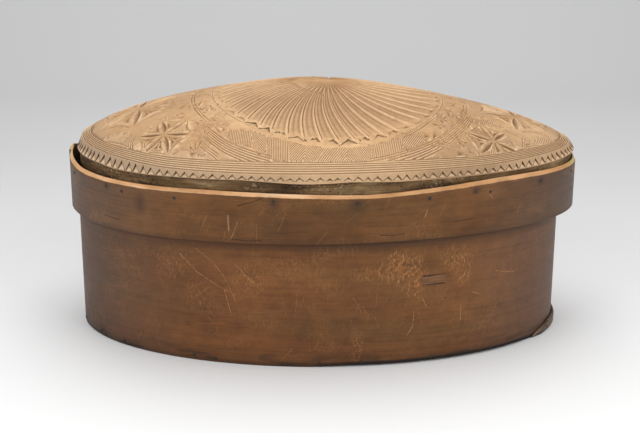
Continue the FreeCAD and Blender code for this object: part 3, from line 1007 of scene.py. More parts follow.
add_cut(whorl_point(RING_RADIUS + 1, ring_turns), ring_depth, everywhere)
print("whorl:", FLUTES, "flutes,", len(carved_lines), "lines")

# %% [markdown]
# ### Border
# Fine V grooves follow the lid's edge. Nine are laid side by side, but the border's inner limit
# cuts the inner ones off, so only five or six of them show.

# %% Border grooves
BORDER_START = 0.3 * MM
BORDER_GROOVES = 9
BORDER_PITCH = 1.38 * MM
BORDER_DEEP = 0.75
BORDER_DEEP_ENDS = 1.1


def border_place(points):
    """Share k of each point and how many grooves it lies inside the border's outer line."""
    along, inside = dome_inside(points[:, 0], points[:, 1])
    across = points[:, 1] / (lip_oval["b"] * (1 - BOARD_EGG_SHARE * along))
    k, turn = np.sqrt(inside), np.arctan2(across, along)
    return k, ((1 - k) * border_reach(turn) - edge_run(turn) - BORDER_START) / BORDER_PITCH


def in_border(points):
    return border_place(points)[0] >= BORDER_K


def border_depth(points):
    k, place = border_place(points)
    within = (place > 0) & (place < BORDER_GROOVES) & (k >= BORDER_K)
    at_ends = np.clip(np.abs(points[:, 0]) / lip_oval["a"] * 2.5 - 1.2, 0, 1)
    deep = (BORDER_DEEP + (BORDER_DEEP_ENDS - BORDER_DEEP) * at_ends) * MM
    return np.where(within, deep * (1 - np.abs(2 * (place % 1.0) - 1)), 0)


border_turns = np.linspace(0, 2 * np.pi, 380, endpoint=False)
for line in range(2 * BORDER_GROOVES + 1):
    inset = BORDER_START + edge_run(border_turns) + line * BORDER_PITCH / 2
    add_line(edge_point(border_turns, inset), in_border, closed=True)
add_cut(edge_point(border_turns, 0.0), border_depth, everywhere)

# %% [markdown]
# ### Stars
# Each star is the six-petalled one that falls out of a pair of compasses. Six petals run from
# its centre to its rim, six more join their tips, and a three-sided chip sits in each gap. Petals
# are pointed leaves with one valley, leaning to one side as a knife leaves them. Two large stars
# fill the ends of the dome and four small ones stand beside them, front and back.

# %% Stars
# Centre x and y, half length, half width, first petal in degrees, leaf width share, depth.
BIG_STARS = ((-168.0, -7.0, 40.0, 53.0, -88.0, 0.18, 3.0), (184.5, -6.0, 38.0, 43.0, -94.0, 0.20, 3.0))
SMALL_STARS = ((-135.0, -88.5, 25.0, 25.0, -78.0, 0.27, 2.7), (155.5, -80.0, 24.0, 23.0, -64.0, 0.27, 2.7))
STAR_RIM = 1.06
LEAF_LIMIT = 1.2
# Corners of the gap between two petals, as share of the star's reach and degrees past the petal.
STAR_GAP = ((0.26, 30), (0.74, 13.5), (0.74, 46.5), (0.62, 30), (0.90, 12), (0.90, 48))


def star_reach(star, points):
    x, y, half_long, half_wide = star[:4]
    return np.hypot((points[:, 0] / MM - x) / half_long, (points[:, 1] / MM - y) / half_wide)


def star_place(star, reach, turn):
    return np.array([star[0] + star[2] * reach * math.cos(turn), star[1] + star[3] * reach * math.sin(turn)])


def mirrored(star):
    return (star[0], -star[1], star[2], star[3], -star[4], star[5], star[6])


all_stars = list(BIG_STARS) + list(SMALL_STARS) + [mirrored(star) for star in SMALL_STARS]


def in_field(points):
    """Everything inside the border that is neither whorl nor star."""
    free = inside_border(points) & (whorl_polar(points)[0] > WHORL_ZONE)
    for star in all_stars:
        free &= star_reach(star, points) > STAR_RIM
    return free


def carve_star(star, draw):
    radius = (star[2] + star[3]) / 2
    wide, deep = star[5] * radius, star[6]

    def keep(points):
        return inside_border(points) & (star_reach(star, points) < LEAF_LIMIT)

    turns = [math.radians(star[4] + 60 * petal) for petal in range(6)]
    for petal, turn in enumerate(turns):
        lean = draw.choice((-0.5, 0.5)) * draw.uniform(0.7, 1.1)
        carve_leaf(star_place(star, 0.07, turn), star_place(star, 0.98, turn),
                   wide * draw.uniform(0.85, 1.15), deep * draw.uniform(0.85, 1.1), lean, keep)
        next_turn = turn + math.radians(60)
        carve_leaf(star_place(star, 0.99, turn + 0.06), star_place(star, 0.99, next_turn - 0.06),
                   radius * 0.10, deep * 0.4, 0.3, keep, bend=0.09)
        inner, left, right_corner, split, outer_left, outer_right = (
            star_place(star, reach, turn + math.radians(degrees)) for reach, degrees in STAR_GAP)
        middle = math.degrees(turn + math.radians(30))
        if draw.random() < 0.35:
            # A fan of fine lines fills the gap.
            carve_hatch([inner, left, outer_left, outer_right, right_corner], middle, 1.5, 0.7, keep)
            continue
        # Two chips share the gap, so that one facet catches the light and the next is in shade.
        carve_chip([inner, left, split], deep * draw.uniform(0.6, 1.0), (0.25, 0.30, 0.45), keep)
        carve_chip([inner, split, right_corner], deep * draw.uniform(0.6, 1.0), (0.25, 0.45, 0.30), keep)
        carve_hatch([left, split, right_corner, outer_right, outer_left], middle + 90, 1.5, 0.7, keep)


# Middles of a few small chips beside the stars, in millimetres.
SMALL_CHIPS = ((-142, -95.5), (-138, -97), (-134, -98), (-130, -96.5),
               (150.5, -82), (154, -82.5), (157.5, -81.5))
star_dice = random.Random(23)
for star in all_stars:
    carve_star(star, star_dice)
for x, y in SMALL_CHIPS:
    for side in (1, -1):
        carve_chip([(x - 2, (y - 1.2) * side), (x + 2, (y - 1.2) * side), (x, (y + 1.8) * side)], 1.6)

# %% [markdown]
# ### Straps and hatching
# Straps of three to seven parallel grooves run from the border to the whorl and cross there.
# The triangles that they leave are filled with short hatching, fans of small chips and a few
# bright single ones. The back mirrors the front.

# %% Straps, hatching and loose chips
# Corners in millimetres, number of grooves, distance between them, depth.
STRAPS = (
    (((-104, -86), (-97, -98), (-86, -112), (-74, -122), (-56, -131), (-40, -136)), 6, 1.9, 0.9),
    (((137, -46), (128, -68), (117, -87), (104, -103), (85, -117), (60, -129), (44, -134)), 6, 1.9, 0.9),
    (((-82, -67), (-91, -79), (-99, -91), (-108, -103)), 7, 1.6, 0.8),
    (((-84, -84), (-96, -84), (-107, -80)), 4, 1.7, 0.7),
    (((104, -57), (111, -68), (121, -83), (126, -96)), 6, 1.8, 0.8),
    (((103, -60), (93, -78), (84, -90), (74, -100)), 4, 1.8, 0.7),
    (((107, -52), (124, -46), (137, -40)), 4, 1.8, 0.7),
    (((-166, -76), (-168, -88), (-162, -103), (-150, -111)), 6, 1.6, 0.8),
    (((-109, -78), (-106, -90), (-110, -103), (-119, -113)), 5, 1.6, 0.7),
    (((-140, -118), (-122, -112), (-106, -108), (-95, -118), (-84, -128)), 3, 1.8, 0.7),
    (((-206, -56), (-194, -68), (-178, -82), (-168, -92)), 4, 1.8, 0.7),
    (((-128, -62), (-116, -74), (-104, -84)), 4, 1.7, 0.7),
    (((188, -56), (187, -68), (183, -82), (174, -94)), 5, 1.7, 0.8),
    (((129, -62), (126, -78), (132, -94), (142, -104)), 5, 1.7, 0.7),
    (((143, -48), (156, -53), (170, -55), (184, -57)), 4, 1.7, 0.7),
    (((224, -36), (212, -50), (198, -62), (184, -74)), 4, 1.8, 0.7),
)
# Corners of each hatched field, direction of its lines in degrees, distance between them.
HATCH_DEEP = 0.6
HATCHES = (
    (((-78, -99), (-58, -104), (-56, -122), (-76, -116)), 88, 1.5),
    (((-57, -104), (-43, -113), (-45, -130), (-56, -123)), -52, 1.5),
    (((-43, -113), (-26, -117), (-24, -136), (-44, -133)), 92, 1.5),
    (((-26, -117), (-10, -120), (-12, -136), (-24, -136)), 48, 1.5),
    (((-10, -120), (10, -121), (-2, -136), (-12, -136)), -50, 1.5),
    (((10, -121), (28, -119), (22, -136), (-2, -136)), 52, 1.5),
    (((28, -119), (48, -114), (44, -134), (22, -136)), -48, 1.5),
    (((48, -114), (74, -104), (70, -124), (46, -132)), 80, 1.5),
    (((74, -102), (90, -93), (96, -106), (72, -121)), 62, 1.5),
    (((-90, -70), (-84, -74), (-78, -96), (-92, -92)), 30, 1.6),
    (((-104, -90), (-118, -112), (-98, -124), (-90, -108)), 40, 1.6),
    (((-196, -62), (-178, -62), (-166, -72), (-172, -84)), 35, 1.6),
    (((-146, -62), (-128, -56), (-120, -66), (-136, -66)), 80, 1.6),
    (((202, -46), (222, -34), (214, -48), (192, -62)), 70, 1.6),
    (((142, -44), (150, -40), (170, -52), (142, -56)), 75, 1.6),
    (((104, -90), (118, -84), (126, -98), (108, -106)), -35, 1.6),
    (((134, -100), (150, -104), (140, -112), (122, -112)), 20, 1.6),
)
# Three corners of each loose chip.
CHIPS = (
    ((-103, -12), (-98, -15), (-103, -20)), ((-119, -38), (-114, -41), (-118, -46)),
    ((-99, -44), (-94, -48), (-98, -54)), ((-113, -74), (-106, -80), (-114, -82)),
    ((-84, -92), (-78, -97), (-84, -101)), ((-54, -124), (-46, -129), (-52, -131)),
    ((115, -37), (123, -36), (116, -42)), ((100, -64), (104, -68), (98, -72)),
    ((93, -92), (99, -95), (92, -100)), ((74, -114), (81, -113), (76, -120)),
    ((125, -50), (131, -53), (124, -57)), ((-124, -58), (-118, -61), (-125, -65)),
    ((-150, -113), (-141, -114), (-147, -119)), ((-128, -114), (-121, -116), (-128, -120)),
    ((-190, -66), (-184, -69), (-188, -76)), ((204, -53), (210, -50), (204, -58)),
    ((150, -103), (158, -100), (151, -107)), ((120, -104), (128, -104), (121, -110)),
    ((-112, -116), (-104, -117), (-109, -123)), ((-176, -62), (-170, -66), (-176, -71)),
)
# Fans of small chips stand on a loose grid with this step, beyond FAN_INNER from the middle.
FAN_STEP = 15.0
FAN_REACH = 14.0
FAN_INNER = 90
# Radius and first and last direction of single grooves beside the whorl.
SECOND_RING = ((132.0, 143, 217), (134.6, 145, 215), (135.0, -35, 35), (137.6, -34, 34))

for side in (1, -1):
    for corners, count, pitch, deep in STRAPS:
        carve_grooves([(x, y * side) for x, y in corners], count, pitch, deep, in_field)
    for corners, degrees, pitch in HATCHES:
        carve_hatch([(x, y * side) for x, y in corners], degrees * side, pitch, HATCH_DEEP, in_field)
    for corners in CHIPS:
        carve_chip([(x, y * side) for x, y in corners], 1.7, (0.25, 0.35, 0.40), in_field)


def carve_fan(x, y, degrees, count, draw):
    """Narrow chips side by side that open out from one point."""
    for chip in range(count):
        turn = math.radians(degrees + 30 * chip)
        half = math.radians(draw.uniform(9.0, 13.5))
        reach = FAN_REACH * draw.uniform(0.75, 1.1)
        corners = [(x, y)]
        for side in (-half, half):
            corners.append((x + reach * math.cos(turn + side), y + reach * math.sin(turn + side)))
        if in_field(np.array(corners) * MM).all():
            lean = draw.choice((0.22, 0.48))
            carve_chip(corners, draw.uniform(1.3, 2.0), (0.30, lean, 0.70 - lean), in_field)


fan_dice = random.Random(57)
fans = 0
for side in (1, -1):
    for column in range(-14, 15):
        for row in range(-9, 0):
            x = column * FAN_STEP + (row % 2) * FAN_STEP / 2 + fan_dice.uniform(-2, 2)
            y = (row * FAN_STEP + fan_dice.uniform(-2, 2)) * side
            degrees = fan_dice.choice((10, 70, 130, 190, 250, 310)) * side
            if abs(x) > FAN_INNER and in_field(np.array([[x, y]]) * MM)[0]:
                carve_fan(x, y, degrees, fan_dice.choice((2, 3, 3, 4)), fan_dice)
                fans += 1
print("fans of chips:", fans)
for radius_mm, first, last in SECOND_RING:
    turns = np.radians(np.linspace(first, last, 25))
    carve_grooves(whorl_point(radius_mm, turns) / MM, 1, 1.7, 0.8, in_field)
print("carved lines:", len(carved_lines), "cuts:", len(carved_cuts))

# %% [markdown]
# ### From lines to a surface
# All the lines go into one constrained triangulation. A loose grid of points fills the plain
# places, and the outline of the lip closes the outer edge.

# %% Triangulate the dome
TEETH = 146
LIP_POINTS = TEETH * 4
FILLER_STEP = 5.5 * MM
FILLER_CLEAR = 1.3 * MM

lip_shares = even_shares(lip_oval, LIP_POINTS)
lip_turns = 2 * np.pi * lip_shares
lip_loop = edge_point(lip_turns, GUARD + edge_run(lip_turns))
flat_points, flat_edges = [], []


def add_flat(points, closed=False):
    first = len(flat_points)
    flat_points.extend(Vector((float(x), float(y))) for x, y in points)
    count = len(points)
    flat_edges.extend((first + i, first + i + 1) for i in range(count - 1))
    if closed:
        flat_edges.append((first + count - 1, first))


add_flat(lip_loop, closed=True)
for line in carved_lines:
    add_flat(line)
taken = set()
for point in flat_points:
    taken.add((int(point.x / FILLER_CLEAR + 500), int(point.y / FILLER_CLEAR + 500)))
filler = 0
rows = int(lip_oval["b"] * 2 / FILLER_STEP) + 2
columns = int(lip_oval["a"] * 2 / FILLER_STEP) + 2
for row in range(rows):
    for column in range(columns):
        along = column + 0.5 * (row % 2) + dice.uniform(-0.25, 0.25)
        x = lip_oval["centre"] - lip_oval["a"] + along * FILLER_STEP
        y = -lip_oval["b"] + (row + dice.uniform(-0.25, 0.25)) * FILLER_STEP
        cell = (int(x / FILLER_CLEAR + 500), int(y / FILLER_CLEAR + 500))
        near = any((cell[0] + i, cell[1] + j) in taken for i in (-1, 0, 1) for j in (-1, 0, 1))
        if not near and dome_inside(x, y)[1] < 0.965 ** 2:
            flat_points.append(Vector((x, y)))
            filler += 1
result = delaunay_2d_cdt(flat_points, flat_edges, [], 0, 1e-6, True)
flat = np.array([tuple(point) for point in result[0]])
triangles = [tuple(face) for face in result[2]]
# Each lip point's number after the triangulation.
renumbered = {}
for number, sources in enumerate(result[3]):
    for source in sources:
        renumbered[source] = number
lip_index = [renumbered[i] for i in range(LIP_POINTS)]
depth = np.zeros(len(flat))
for low, high, depth_of, keep in carved_cuts:
    near = ((flat >= low - 0.1 * MM) & (flat <= high + 0.1 * MM)).all(1)
    if not near.any():
        continue
    chosen = np.nonzero(near)[0]
    cut = np.where(keep(flat[chosen]), depth_of(flat[chosen]), 0)
    depth[chosen] = np.maximum(depth[chosen], cut)
depth[lip_index] = 0
print("carving:", len(flat), "points,", len(triangles), "triangles,", filler, "filler points,",
      "deepest cut %.2f mm" % (depth.max() / MM))

# %% [markdown]
# ### Toothed edge
# Below the dome the board's edge is cut into a row of teeth: one three-sided chip after another,
# with its point up. The edge is upright at the front and back and slopes at the ends. An array
# of one tooth would look machined. These were cut by eye, so each tooth is built on its own
# between the dome's outline and the edge's lower line, and the dice shift its corners.

# %% Levels of the edge
EDGE_ROUNDNESS = 1.6
# The toothed edge wanders. Direction in degrees, then in millimetres: how far its lower line lies
# off its mean level, the plain strip above the teeth, and the sill below them.
EDGE_WANDER = (
    (0, -1.6, 0.4, 0.7), (60, -0.6, 0.7, 0.7), (120, -0.4, 0.7, 0.7), (170, 0.2, 0.4, 0.7),
    (196, 0.2, 0.4, 0.7), (210, 0.0, 0.5, 0.7), (217, -1.4, 0.5, 0.6), (228, -1.2, 0.6, 0.5),
    (233, -0.5, 0.8, 0.5), (252, 0.8, 0.5, 0.6), (258, -0.4, 0.9, 1.0), (263, -1.7, 1.4, 2.2),
    (267, -2.0, 1.7, 2.6), (271, -1.6, 2.1, 2.2), (275, -0.7, 1.8, 0.8), (285, -2.2, 1.6, 1.2),
    (290, -2.2, 1.4, 1.3), (322, -2.4, 1.0, 0.8), (336, -2.1, 0.5, 0.7), (360, -1.6, 0.4, 0.7))


def edge_wander(share):
    """Level of the edge's lower line, plain strip and sill at a share of a turn, in metres."""
    degrees = np.asarray(share) % 1.0 * 360
    places, low, plain, sill = zip(*EDGE_WANDER)
    return (LIP_LOW + np.interp(degrees, places, low) * MM, np.interp(degrees, places, plain) * MM,
            np.interp(degrees, places, sill) * MM)


lip_levels = dome_height(lip_loop[:, 0], lip_loop[:, 1])
closed_shares = np.append(lip_shares, 1.0)
closed_levels = np.append(lip_levels, lip_levels[0])


def lip_span(place):
    """Share of a turn of a place counted in teeth, with the edge's lower and upper level there."""
    share = float(np.interp((place % TEETH) * 4, np.arange(LIP_POINTS + 1), closed_shares))
    return share, float(edge_wander(share)[0]), float(np.interp(share, closed_shares, closed_levels))


def lip_place(place, up, inward=0.0):
    """Point on the toothed edge. Place counts teeth round the oval, up runs from 0 to 1."""
    share, low, high = lip_span(place)
    run = float(edge_run(2 * np.pi * share)) * up ** EDGE_ROUNDNESS
    x, y = oval_xy(lip_oval, share, -GUARD - run - inward)
    return float(x), float(y), low + (high - low) * up


# %% Dome points and teeth
TOOTH_DEEP = 2.2 * MM
TOOTH_STROKE = 1.25 * MM
TOOTH_LEG = 0.15
FOOT_IN = 0.35 * MM
SILL_IN = 0.3 * MM
TOOTH_SLIPS = (0.0, 0.1, 0.3, 0.3, 0.6, 1.1)
# Painted shade and highlight on single facets of the teeth: the undercut ones are painted dark, the sills
# painted light.
UNDERCUT_SHADE_TONES = (1.9, 2.0, 2.1)
SILL_HIGHLIGHT_TONES = (0.9, 0.9, 0.45)
board_points = []
board_faces = []
painted_tooth_tones = {}


def new_point(point):
    board_points.append(tuple(point))
    return len(board_points) - 1


nx, ny, nz = dome_normal(flat[:, 0], flat[:, 1])
top_level = dome_height(flat[:, 0], flat[:, 1]) - nz * depth
board_points.extend(zip(flat[:, 0] - nx * depth, flat[:, 1] - ny * depth, top_level))
for face in triangles:
    a, b, c = (flat[i] for i in face)
    turns_left = (b[0] - a[0]) * (c[1] - a[1]) - (b[1] - a[1]) * (c[0] - a[0]) > 0
    board_faces.append(face if turns_left else tuple(reversed(face)))
top_face_count = len(board_faces)
top_point_count = len(board_points)

feet, foot_places = [], []
for tooth in range(TEETH):
    place = tooth + dice.uniform(-0.13, 0.13)
    share, low, high = lip_span(place)
    foot_up = (float(edge_wander(share)[2]) + dice.uniform(-0.15, 0.25) * MM) / (high - low)
    foot_places.append((place, foot_up))
    feet.append(new_point(lip_place(place, foot_up)))
foot_places.append((foot_places[0][0] + TEETH, foot_places[0][1]))
low_loop = [new_point(lip_place(step / 4, 0.0, SILL_IN)) for step in range(LIP_POINTS)]
for tooth in range(TEETH):
    start, start_up = foot_places[tooth]
    wide = foot_places[tooth + 1][0] - start
    middle = start + wide * dice.uniform(0.42, 0.60)
    share, low, high = lip_span(middle)
    apex_up = 1 - (float(edge_wander(share)[1]) + dice.choice(TOOTH_SLIPS) * MM) / (high - low)
    apex = new_point(lip_place(middle, apex_up))
    deepest_up = apex_up - TOOTH_STROKE * dice.uniform(0.8, 1.2) / (high - low)
    deepest = new_point(lip_place(middle, deepest_up, TOOTH_DEEP * dice.uniform(0.85, 1.15)))
    foot, next_foot = feet[tooth], feet[(tooth + 1) % TEETH]
    left = new_point(lip_place(start + TOOTH_LEG * wide, start_up + 0.02, FOOT_IN))
    right_corner = new_point(lip_place(start + (1 - TOOTH_LEG) * wide, start_up + 0.02, FOOT_IN))
    upper = [lip_index[(4 * tooth + step) % LIP_POINTS] for step in range(5)]
    lower = [low_loop[(4 * tooth + step) % LIP_POINTS] for step in range(5)]
    for face in range(4):
        painted_tooth_tones[len(board_faces) + face] = ("cut", UNDERCUT_SHADE_TONES)
    painted_tooth_tones[len(board_faces) + 4] = ("ridge", SILL_HIGHLIGHT_TONES)
    board_faces += [
        (foot, left, apex), (left, deepest, apex),
        (next_foot, apex, right_corner), (apex, deepest, right_corner),
        (left, right_corner, deepest), (foot, next_foot, right_corner), (foot, right_corner, left),
        (upper[0], foot, apex), (upper[0], apex, upper[1]), (upper[1], apex, upper[2]),
        (upper[2], apex, upper[3]), (upper[3], apex, upper[4]), (apex, next_foot, upper[4]),
        (foot, lower[0], lower[1]), (foot, lower[1], lower[2]), (foot, lower[2], next_foot),
        (next_foot, lower[2], lower[3]), (next_foot, lower[3], lower[4])]
lip_face_count = len(board_faces)
print("teeth:", TEETH, "with", lip_face_count - top_face_count, "faces")

# %% [markdown]
# ### Plain side and hollow
# Under the teeth the board's plain side goes down behind the band. It is the oldest looking
# part, dark, dry and cracked. Below, the board is hollowed out, which leaves a flat rim. Both
# are rings of points, each joined to the one above, which leaves no open seam.

# %% Side, rim and hollow
RIM_WIDTH = 24.0 * MM
RIM_SHRINK = 0.8 * MM
DOME_WALL = 18.0 * MM
LEAST_HOLLOW = 2.5 * MM
SIDE_LEVELS = (171.6, 170.6, 169.6, 168.6, 167.8, 167.0, 166.0, 164.8, 163.2, 160.0, 155.0, 150.0, 145.2)
HOLLOW_SHARES = (0.985, 0.95, 0.9, 0.82, 0.72, 0.6, 0.46, 0.3, 0.14)
CRACK_LEVEL = 167.2 * MM
NOTCHED_BELOW = 169.5 * MM


def side_hollow(share, level):
    """Cracks and worn places of the plain side, in metres inwards."""
    wear = 0.5 * (1 + smooth_noise(share + level * 3, 30, 41)) * 0.5 * MM
    recess = 2.4 * MM * swell(share, 0.7225, 0.7375, 0.004)
    recess = recess * np.clip((NOTCHED_BELOW - level) / (3 * MM), 0, 1)
    off_crack = (level - CRACK_LEVEL + (share - 0.63) * 30 * MM) / (0.7 * MM)
    return wear + recess + 0.9 * MM * swell(share, 0.60, 0.665, 0.02) * np.exp(-off_crack ** 2)


def add_ring(x, y, level, above=()):
    """Ring of points, joined by faces to the ring above it."""
    ring = [new_point(point) for point in zip(x, y, np.broadcast_to(level, x.shape))]
    for i in range(len(above)):
        j = (i + 1) % len(above)
        board_faces.append((above[i], ring[i], ring[j], above[j]))
    return ring


low_line = edge_wander(lip_shares)[0]
ring = add_ring(*oval_xy(board_oval, lip_shares), low_line - 0.1 * MM, low_loop)
for level_mm in SIDE_LEVELS:
    level = level_mm * MM
    x, y = oval_xy(board_oval, lip_shares, -side_hollow(lip_shares, level))
    bent_level = BOARD_LOW + (level - BOARD_LOW) * (low_line - BOARD_LOW) / (LIP_LOW - BOARD_LOW)
    ring = add_ring(x, y, bent_level, ring)
ring = add_ring(*oval_xy(board_oval, lip_shares, -RIM_SHRINK), BOARD_LOW, ring)
side_face_count = len(board_faces)
# The rim's inner line has one point to four of the outer line.
rim_x, rim_y = oval_xy(board_oval, lip_shares[::4], -RIM_WIDTH)
rim = add_ring(rim_x, rim_y, BOARD_LOW)
outer = ring + ring[:1]
for i in range(len(rim)):
    j = (i + 1) % len(rim)
    for step in range(4):
        board_faces.append((outer[4 * i + step], rim[i] if step < 2 else rim[j], outer[4 * i + step + 1]))
    board_faces.append((outer[4 * i + 2], rim[i], rim[j]))
ring = rim
for k in HOLLOW_SHARES:
    x, y = board_oval["centre"] + (rim_x - board_oval["centre"]) * k, rim_y * k
    ring = add_ring(x, y, np.maximum(dome_height(x, y) + GUARD - DOME_WALL, BOARD_LOW + LEAST_HOLLOW), ring)
pole = new_point((board_oval["centre"], 0.0, float(dome_height(board_oval["centre"], 0.0)) - DOME_WALL))
for i in range(len(ring)):
    board_faces.append((ring[i], pole, ring[(i + 1) % len(ring)]))
lid_board = build_mesh("carved_lid_board", board_points, board_faces, smooth_angle=16)
zones = np.zeros(len(board_faces), np.int32)
zones[lip_face_count:side_face_count] = 1
zones[side_face_count:] = 2
lid_board.data.polygons.foreach_set("material_index", zones)
print("lid board:", len(board_points), "points,", sum(len(face) - 2 for face in board_faces), "triangles")

# %% [markdown]
# ### Depths and ridges for the finish
# The colour has to know where a cut is deep and where a ridge stands. Both can be worked out
# from the mesh: a point that lies higher than its neighbours is a ridge, and a lower one is a
# valley. The numbers are written on the corners of the faces, because a notch's steep wall is
# painted dark as shadow right up to the sharp edge of the light wood beside it.

# %% Numbers on the carved board
CUT_UNIT = 1.6 * MM
CROWN_SLOPE = 0.35
FLOOR_TONE = 0.45
# Painted shade tones of the left and the right wall of a notch. Above 1.45 the finish is painted dark as
# shadow.
STEEP_SHADE_TONES = (1.80, 1.66)


def on_all(values):
    """Values of the dome's points, with zero for all the other points of the board."""
    padded = np.zeros(len(board_points))
    padded[:top_point_count] = values
    return padded[corner_points]


corners = np.array(triangles)
starts, ends = corners.ravel(), corners[:, (1, 2, 0)].ravel()
climb = (depth[ends] - depth[starts]) / np.maximum(np.hypot(*(flat[ends] - flat[starts]).T), 0.3 * MM)
crown = np.bincount(starts, climb, len(flat)) - np.bincount(ends, climb, len(flat))
crown /= np.bincount(starts, minlength=len(flat)) + np.bincount(ends, minlength=len(flat)) + 1e-9
corner_points = np.array([corner for face in board_faces for corner in face])
corner_cut_and_shade = on_all(depth / CUT_UNIT)
corner_wear_and_highlight = on_all(np.clip(crown / CROWN_SLOPE, 0, 1))
corner_valley = on_all(np.clip(-crown / CROWN_SLOPE, 0, 1))
# Only the faces inside a cut carry the painted highlight along its edge. The steep walls of the
# notches round the whorl carry painted shadow.
top_corners = np.array(board_faces[:top_face_count])
in_cut = depth[top_corners].max(1) >= 0.08 * MM
middles = flat[top_corners].mean(1)
middle_radius, middle_turn = whorl_polar(middles)
notch_zone = np.abs(middle_radius - (FLUTE_END - NOTCH_REACH * 0.6)) < NOTCH_REACH * 0.75
steep_shade = np.zeros(top_face_count)
for base, inward, across, half, reach, lean in notches:
    up, side = (middles - base) @ inward, (middles - base) @ across
    side = side - lean * up / reach
    in_arch = (up > 0) & (half * (1 - up / reach) > np.abs(side))
    in_floor = (half - WALL_RUN * MM) * (1 - up / (reach - ARCH_TOP * WALL_RUN * MM)) > np.abs(side)
    steep_shade[in_arch & ~in_floor] = np.where(side < 0, *STEEP_SHADE_TONES)[in_arch & ~in_floor]
steep_shade *= np.clip(share_at_turn(middle_turn, NOTCH_SHARES) * 2.5 - 1.25, 0, 1) ** 0.3
on_top = slice(0, top_face_count * 3)
corner_wear_and_highlight[on_top] *= np.repeat(in_cut & (steep_shade == 0), 3)
shallow = np.where(np.repeat(notch_zone, 3), np.minimum(corner_cut_and_shade[on_top], FLOOR_TONE), corner_cut_and_shade[on_top])
corner_cut_and_shade[on_top] = np.maximum(shallow, np.repeat(steep_shade, 3))
first_corner = np.concatenate([[0], np.cumsum([len(face) for face in board_faces])])
for face, (kind, tones) in painted_tooth_tones.items():
    corners = slice(first_corner[face], first_corner[face] + 3)
    (corner_cut_and_shade if kind == "cut" else corner_wear_and_highlight)[corners] = tones
for name, values in (("cut_depth", corner_cut_and_shade), ("ridge", corner_wear_and_highlight), ("valley", corner_valley)):
    layer = lid_board.data.attributes.new(name, "FLOAT", "CORNER")
    layer.data.foreach_set("value", values.astype(np.float32))
print("cuts reach over", int(100 * in_cut.mean()), "% of the dome's faces")

# %% [markdown]
# ## Old waxed wood
# The wall and the band were oiled or waxed once and have darkened to red brown. Their colour is
# built in layers, from the largest to the smallest: broad stains, grain drawn out along the
# board, pores, and then damage. Scratches are short single strokes, one to a cell of a Voronoi
# pattern, each with a turn of its own. The few that catch the eye in the picture are drawn one
# by one between two places. The grain reads the strip's UV map, so it follows the bend.

# %% Finish for the bent boards


def gate(vector, scale, low, high, detail=2.0):
    """0 to 1 mask of a noise between two of its values."""
    value = noise_of(vector, scale, detail)
    return span(value, low, high)


def scratches(uv, cell_mm, degrees, spread, width_mm, bend, kept, shift):
    """Short thin strokes, one to a cell of a Voronoi pattern, each with a turn of its own."""
    moved = mapped(uv, (1, 1, 1), (0, 0, 0), (shift, shift * 0.37, 0))
    cells = add("ShaderNodeTexVoronoi", {"Vector": moved, "Scale": 1000.0 / cell_mm}, voronoi_dimensions="2D")
    away = vector_of("SUBTRACT", moved, cells.outputs["Position"])
    parts = apart(away)
    draw = add("ShaderNodeSeparateColor", {0: cells.outputs["Color"]})
    turn = span(draw.outputs[0], 0.0, 1.0, math.radians(degrees - spread), math.radians(degrees + spread))
    cos, sin = math_of("COSINE", turn), math_of("SINE", turn)
    run = plus(times(parts[0], cos), times(parts[1], sin))
    side = minus(times(parts[1], cos), times(parts[0], sin))
    curve = times(times(run, run), times(minus(draw.outputs[1], 0.5), bend * 1000.0 / cell_mm))
    off = size_of(minus(side, curve))
    thick = times(plus(draw.outputs[1], 0.45), width_mm * MM)
    line = minus(1.0, math_of("DIVIDE", off, thick), clamp=True)
    some = math_of("GREATER_THAN", kept, draw.outputs[2])
    return times(line, some)


def spot(vector, place, size):
    """1 at a place and 0 beyond an ellipse round it."""
    moved = vector_of("SUBTRACT", vector, place)
    scaled = vector_of("DIVIDE", moved, size)
    distance = add("ShaderNodeVectorMath", {0: scaled}, operation="LENGTH").outputs["Value"]
    return minus(1.0, distance, clamp=True)


RUBBED = (0.30, 0.145, 0.055)


def stroke(place, start, end, width):
    """One straight scratch on the front, between two places given as x and z in millimetres."""
    axis = (Vector((end[0], 0, end[1])) - Vector((start[0], 0, start[1]))) * MM
    parts = apart(place)
    seen_flat = add("ShaderNodeCombineXYZ", {0: parts[0], 2: parts[2]}).outputs[0]
    away = vector_of("SUBTRACT", seen_flat, (start[0] * MM, 0, start[1] * MM))
    scaled = tuple(axis / axis.length_squared)
    run = add("ShaderNodeVectorMath", {0: away, 1: scaled}, operation="DOT_PRODUCT")
    run = math_of("MINIMUM", larger(run.outputs["Value"], 0.0), 1.0)
    foot = add("ShaderNodeVectorMath", {0: tuple(axis)}, operation="SCALE")
    tree.links.new(run, foot.inputs["Scale"])
    gap = add("ShaderNodeVectorMath", {0: away, 1: foot.outputs[0]}, operation="DISTANCE").outputs["Value"]
    line = minus(1.0, math_of("DIVIDE", gap, width * MM), clamp=True)
    return times(line, math_of("LESS_THAN", parts[1], 0.0))


def strokes(lines):
    return [stroke(place, start, end, width)
            for width, *places in lines for start, end in zip(places, places[1:])]


OLIVE = (0.125, 0.066, 0.020)


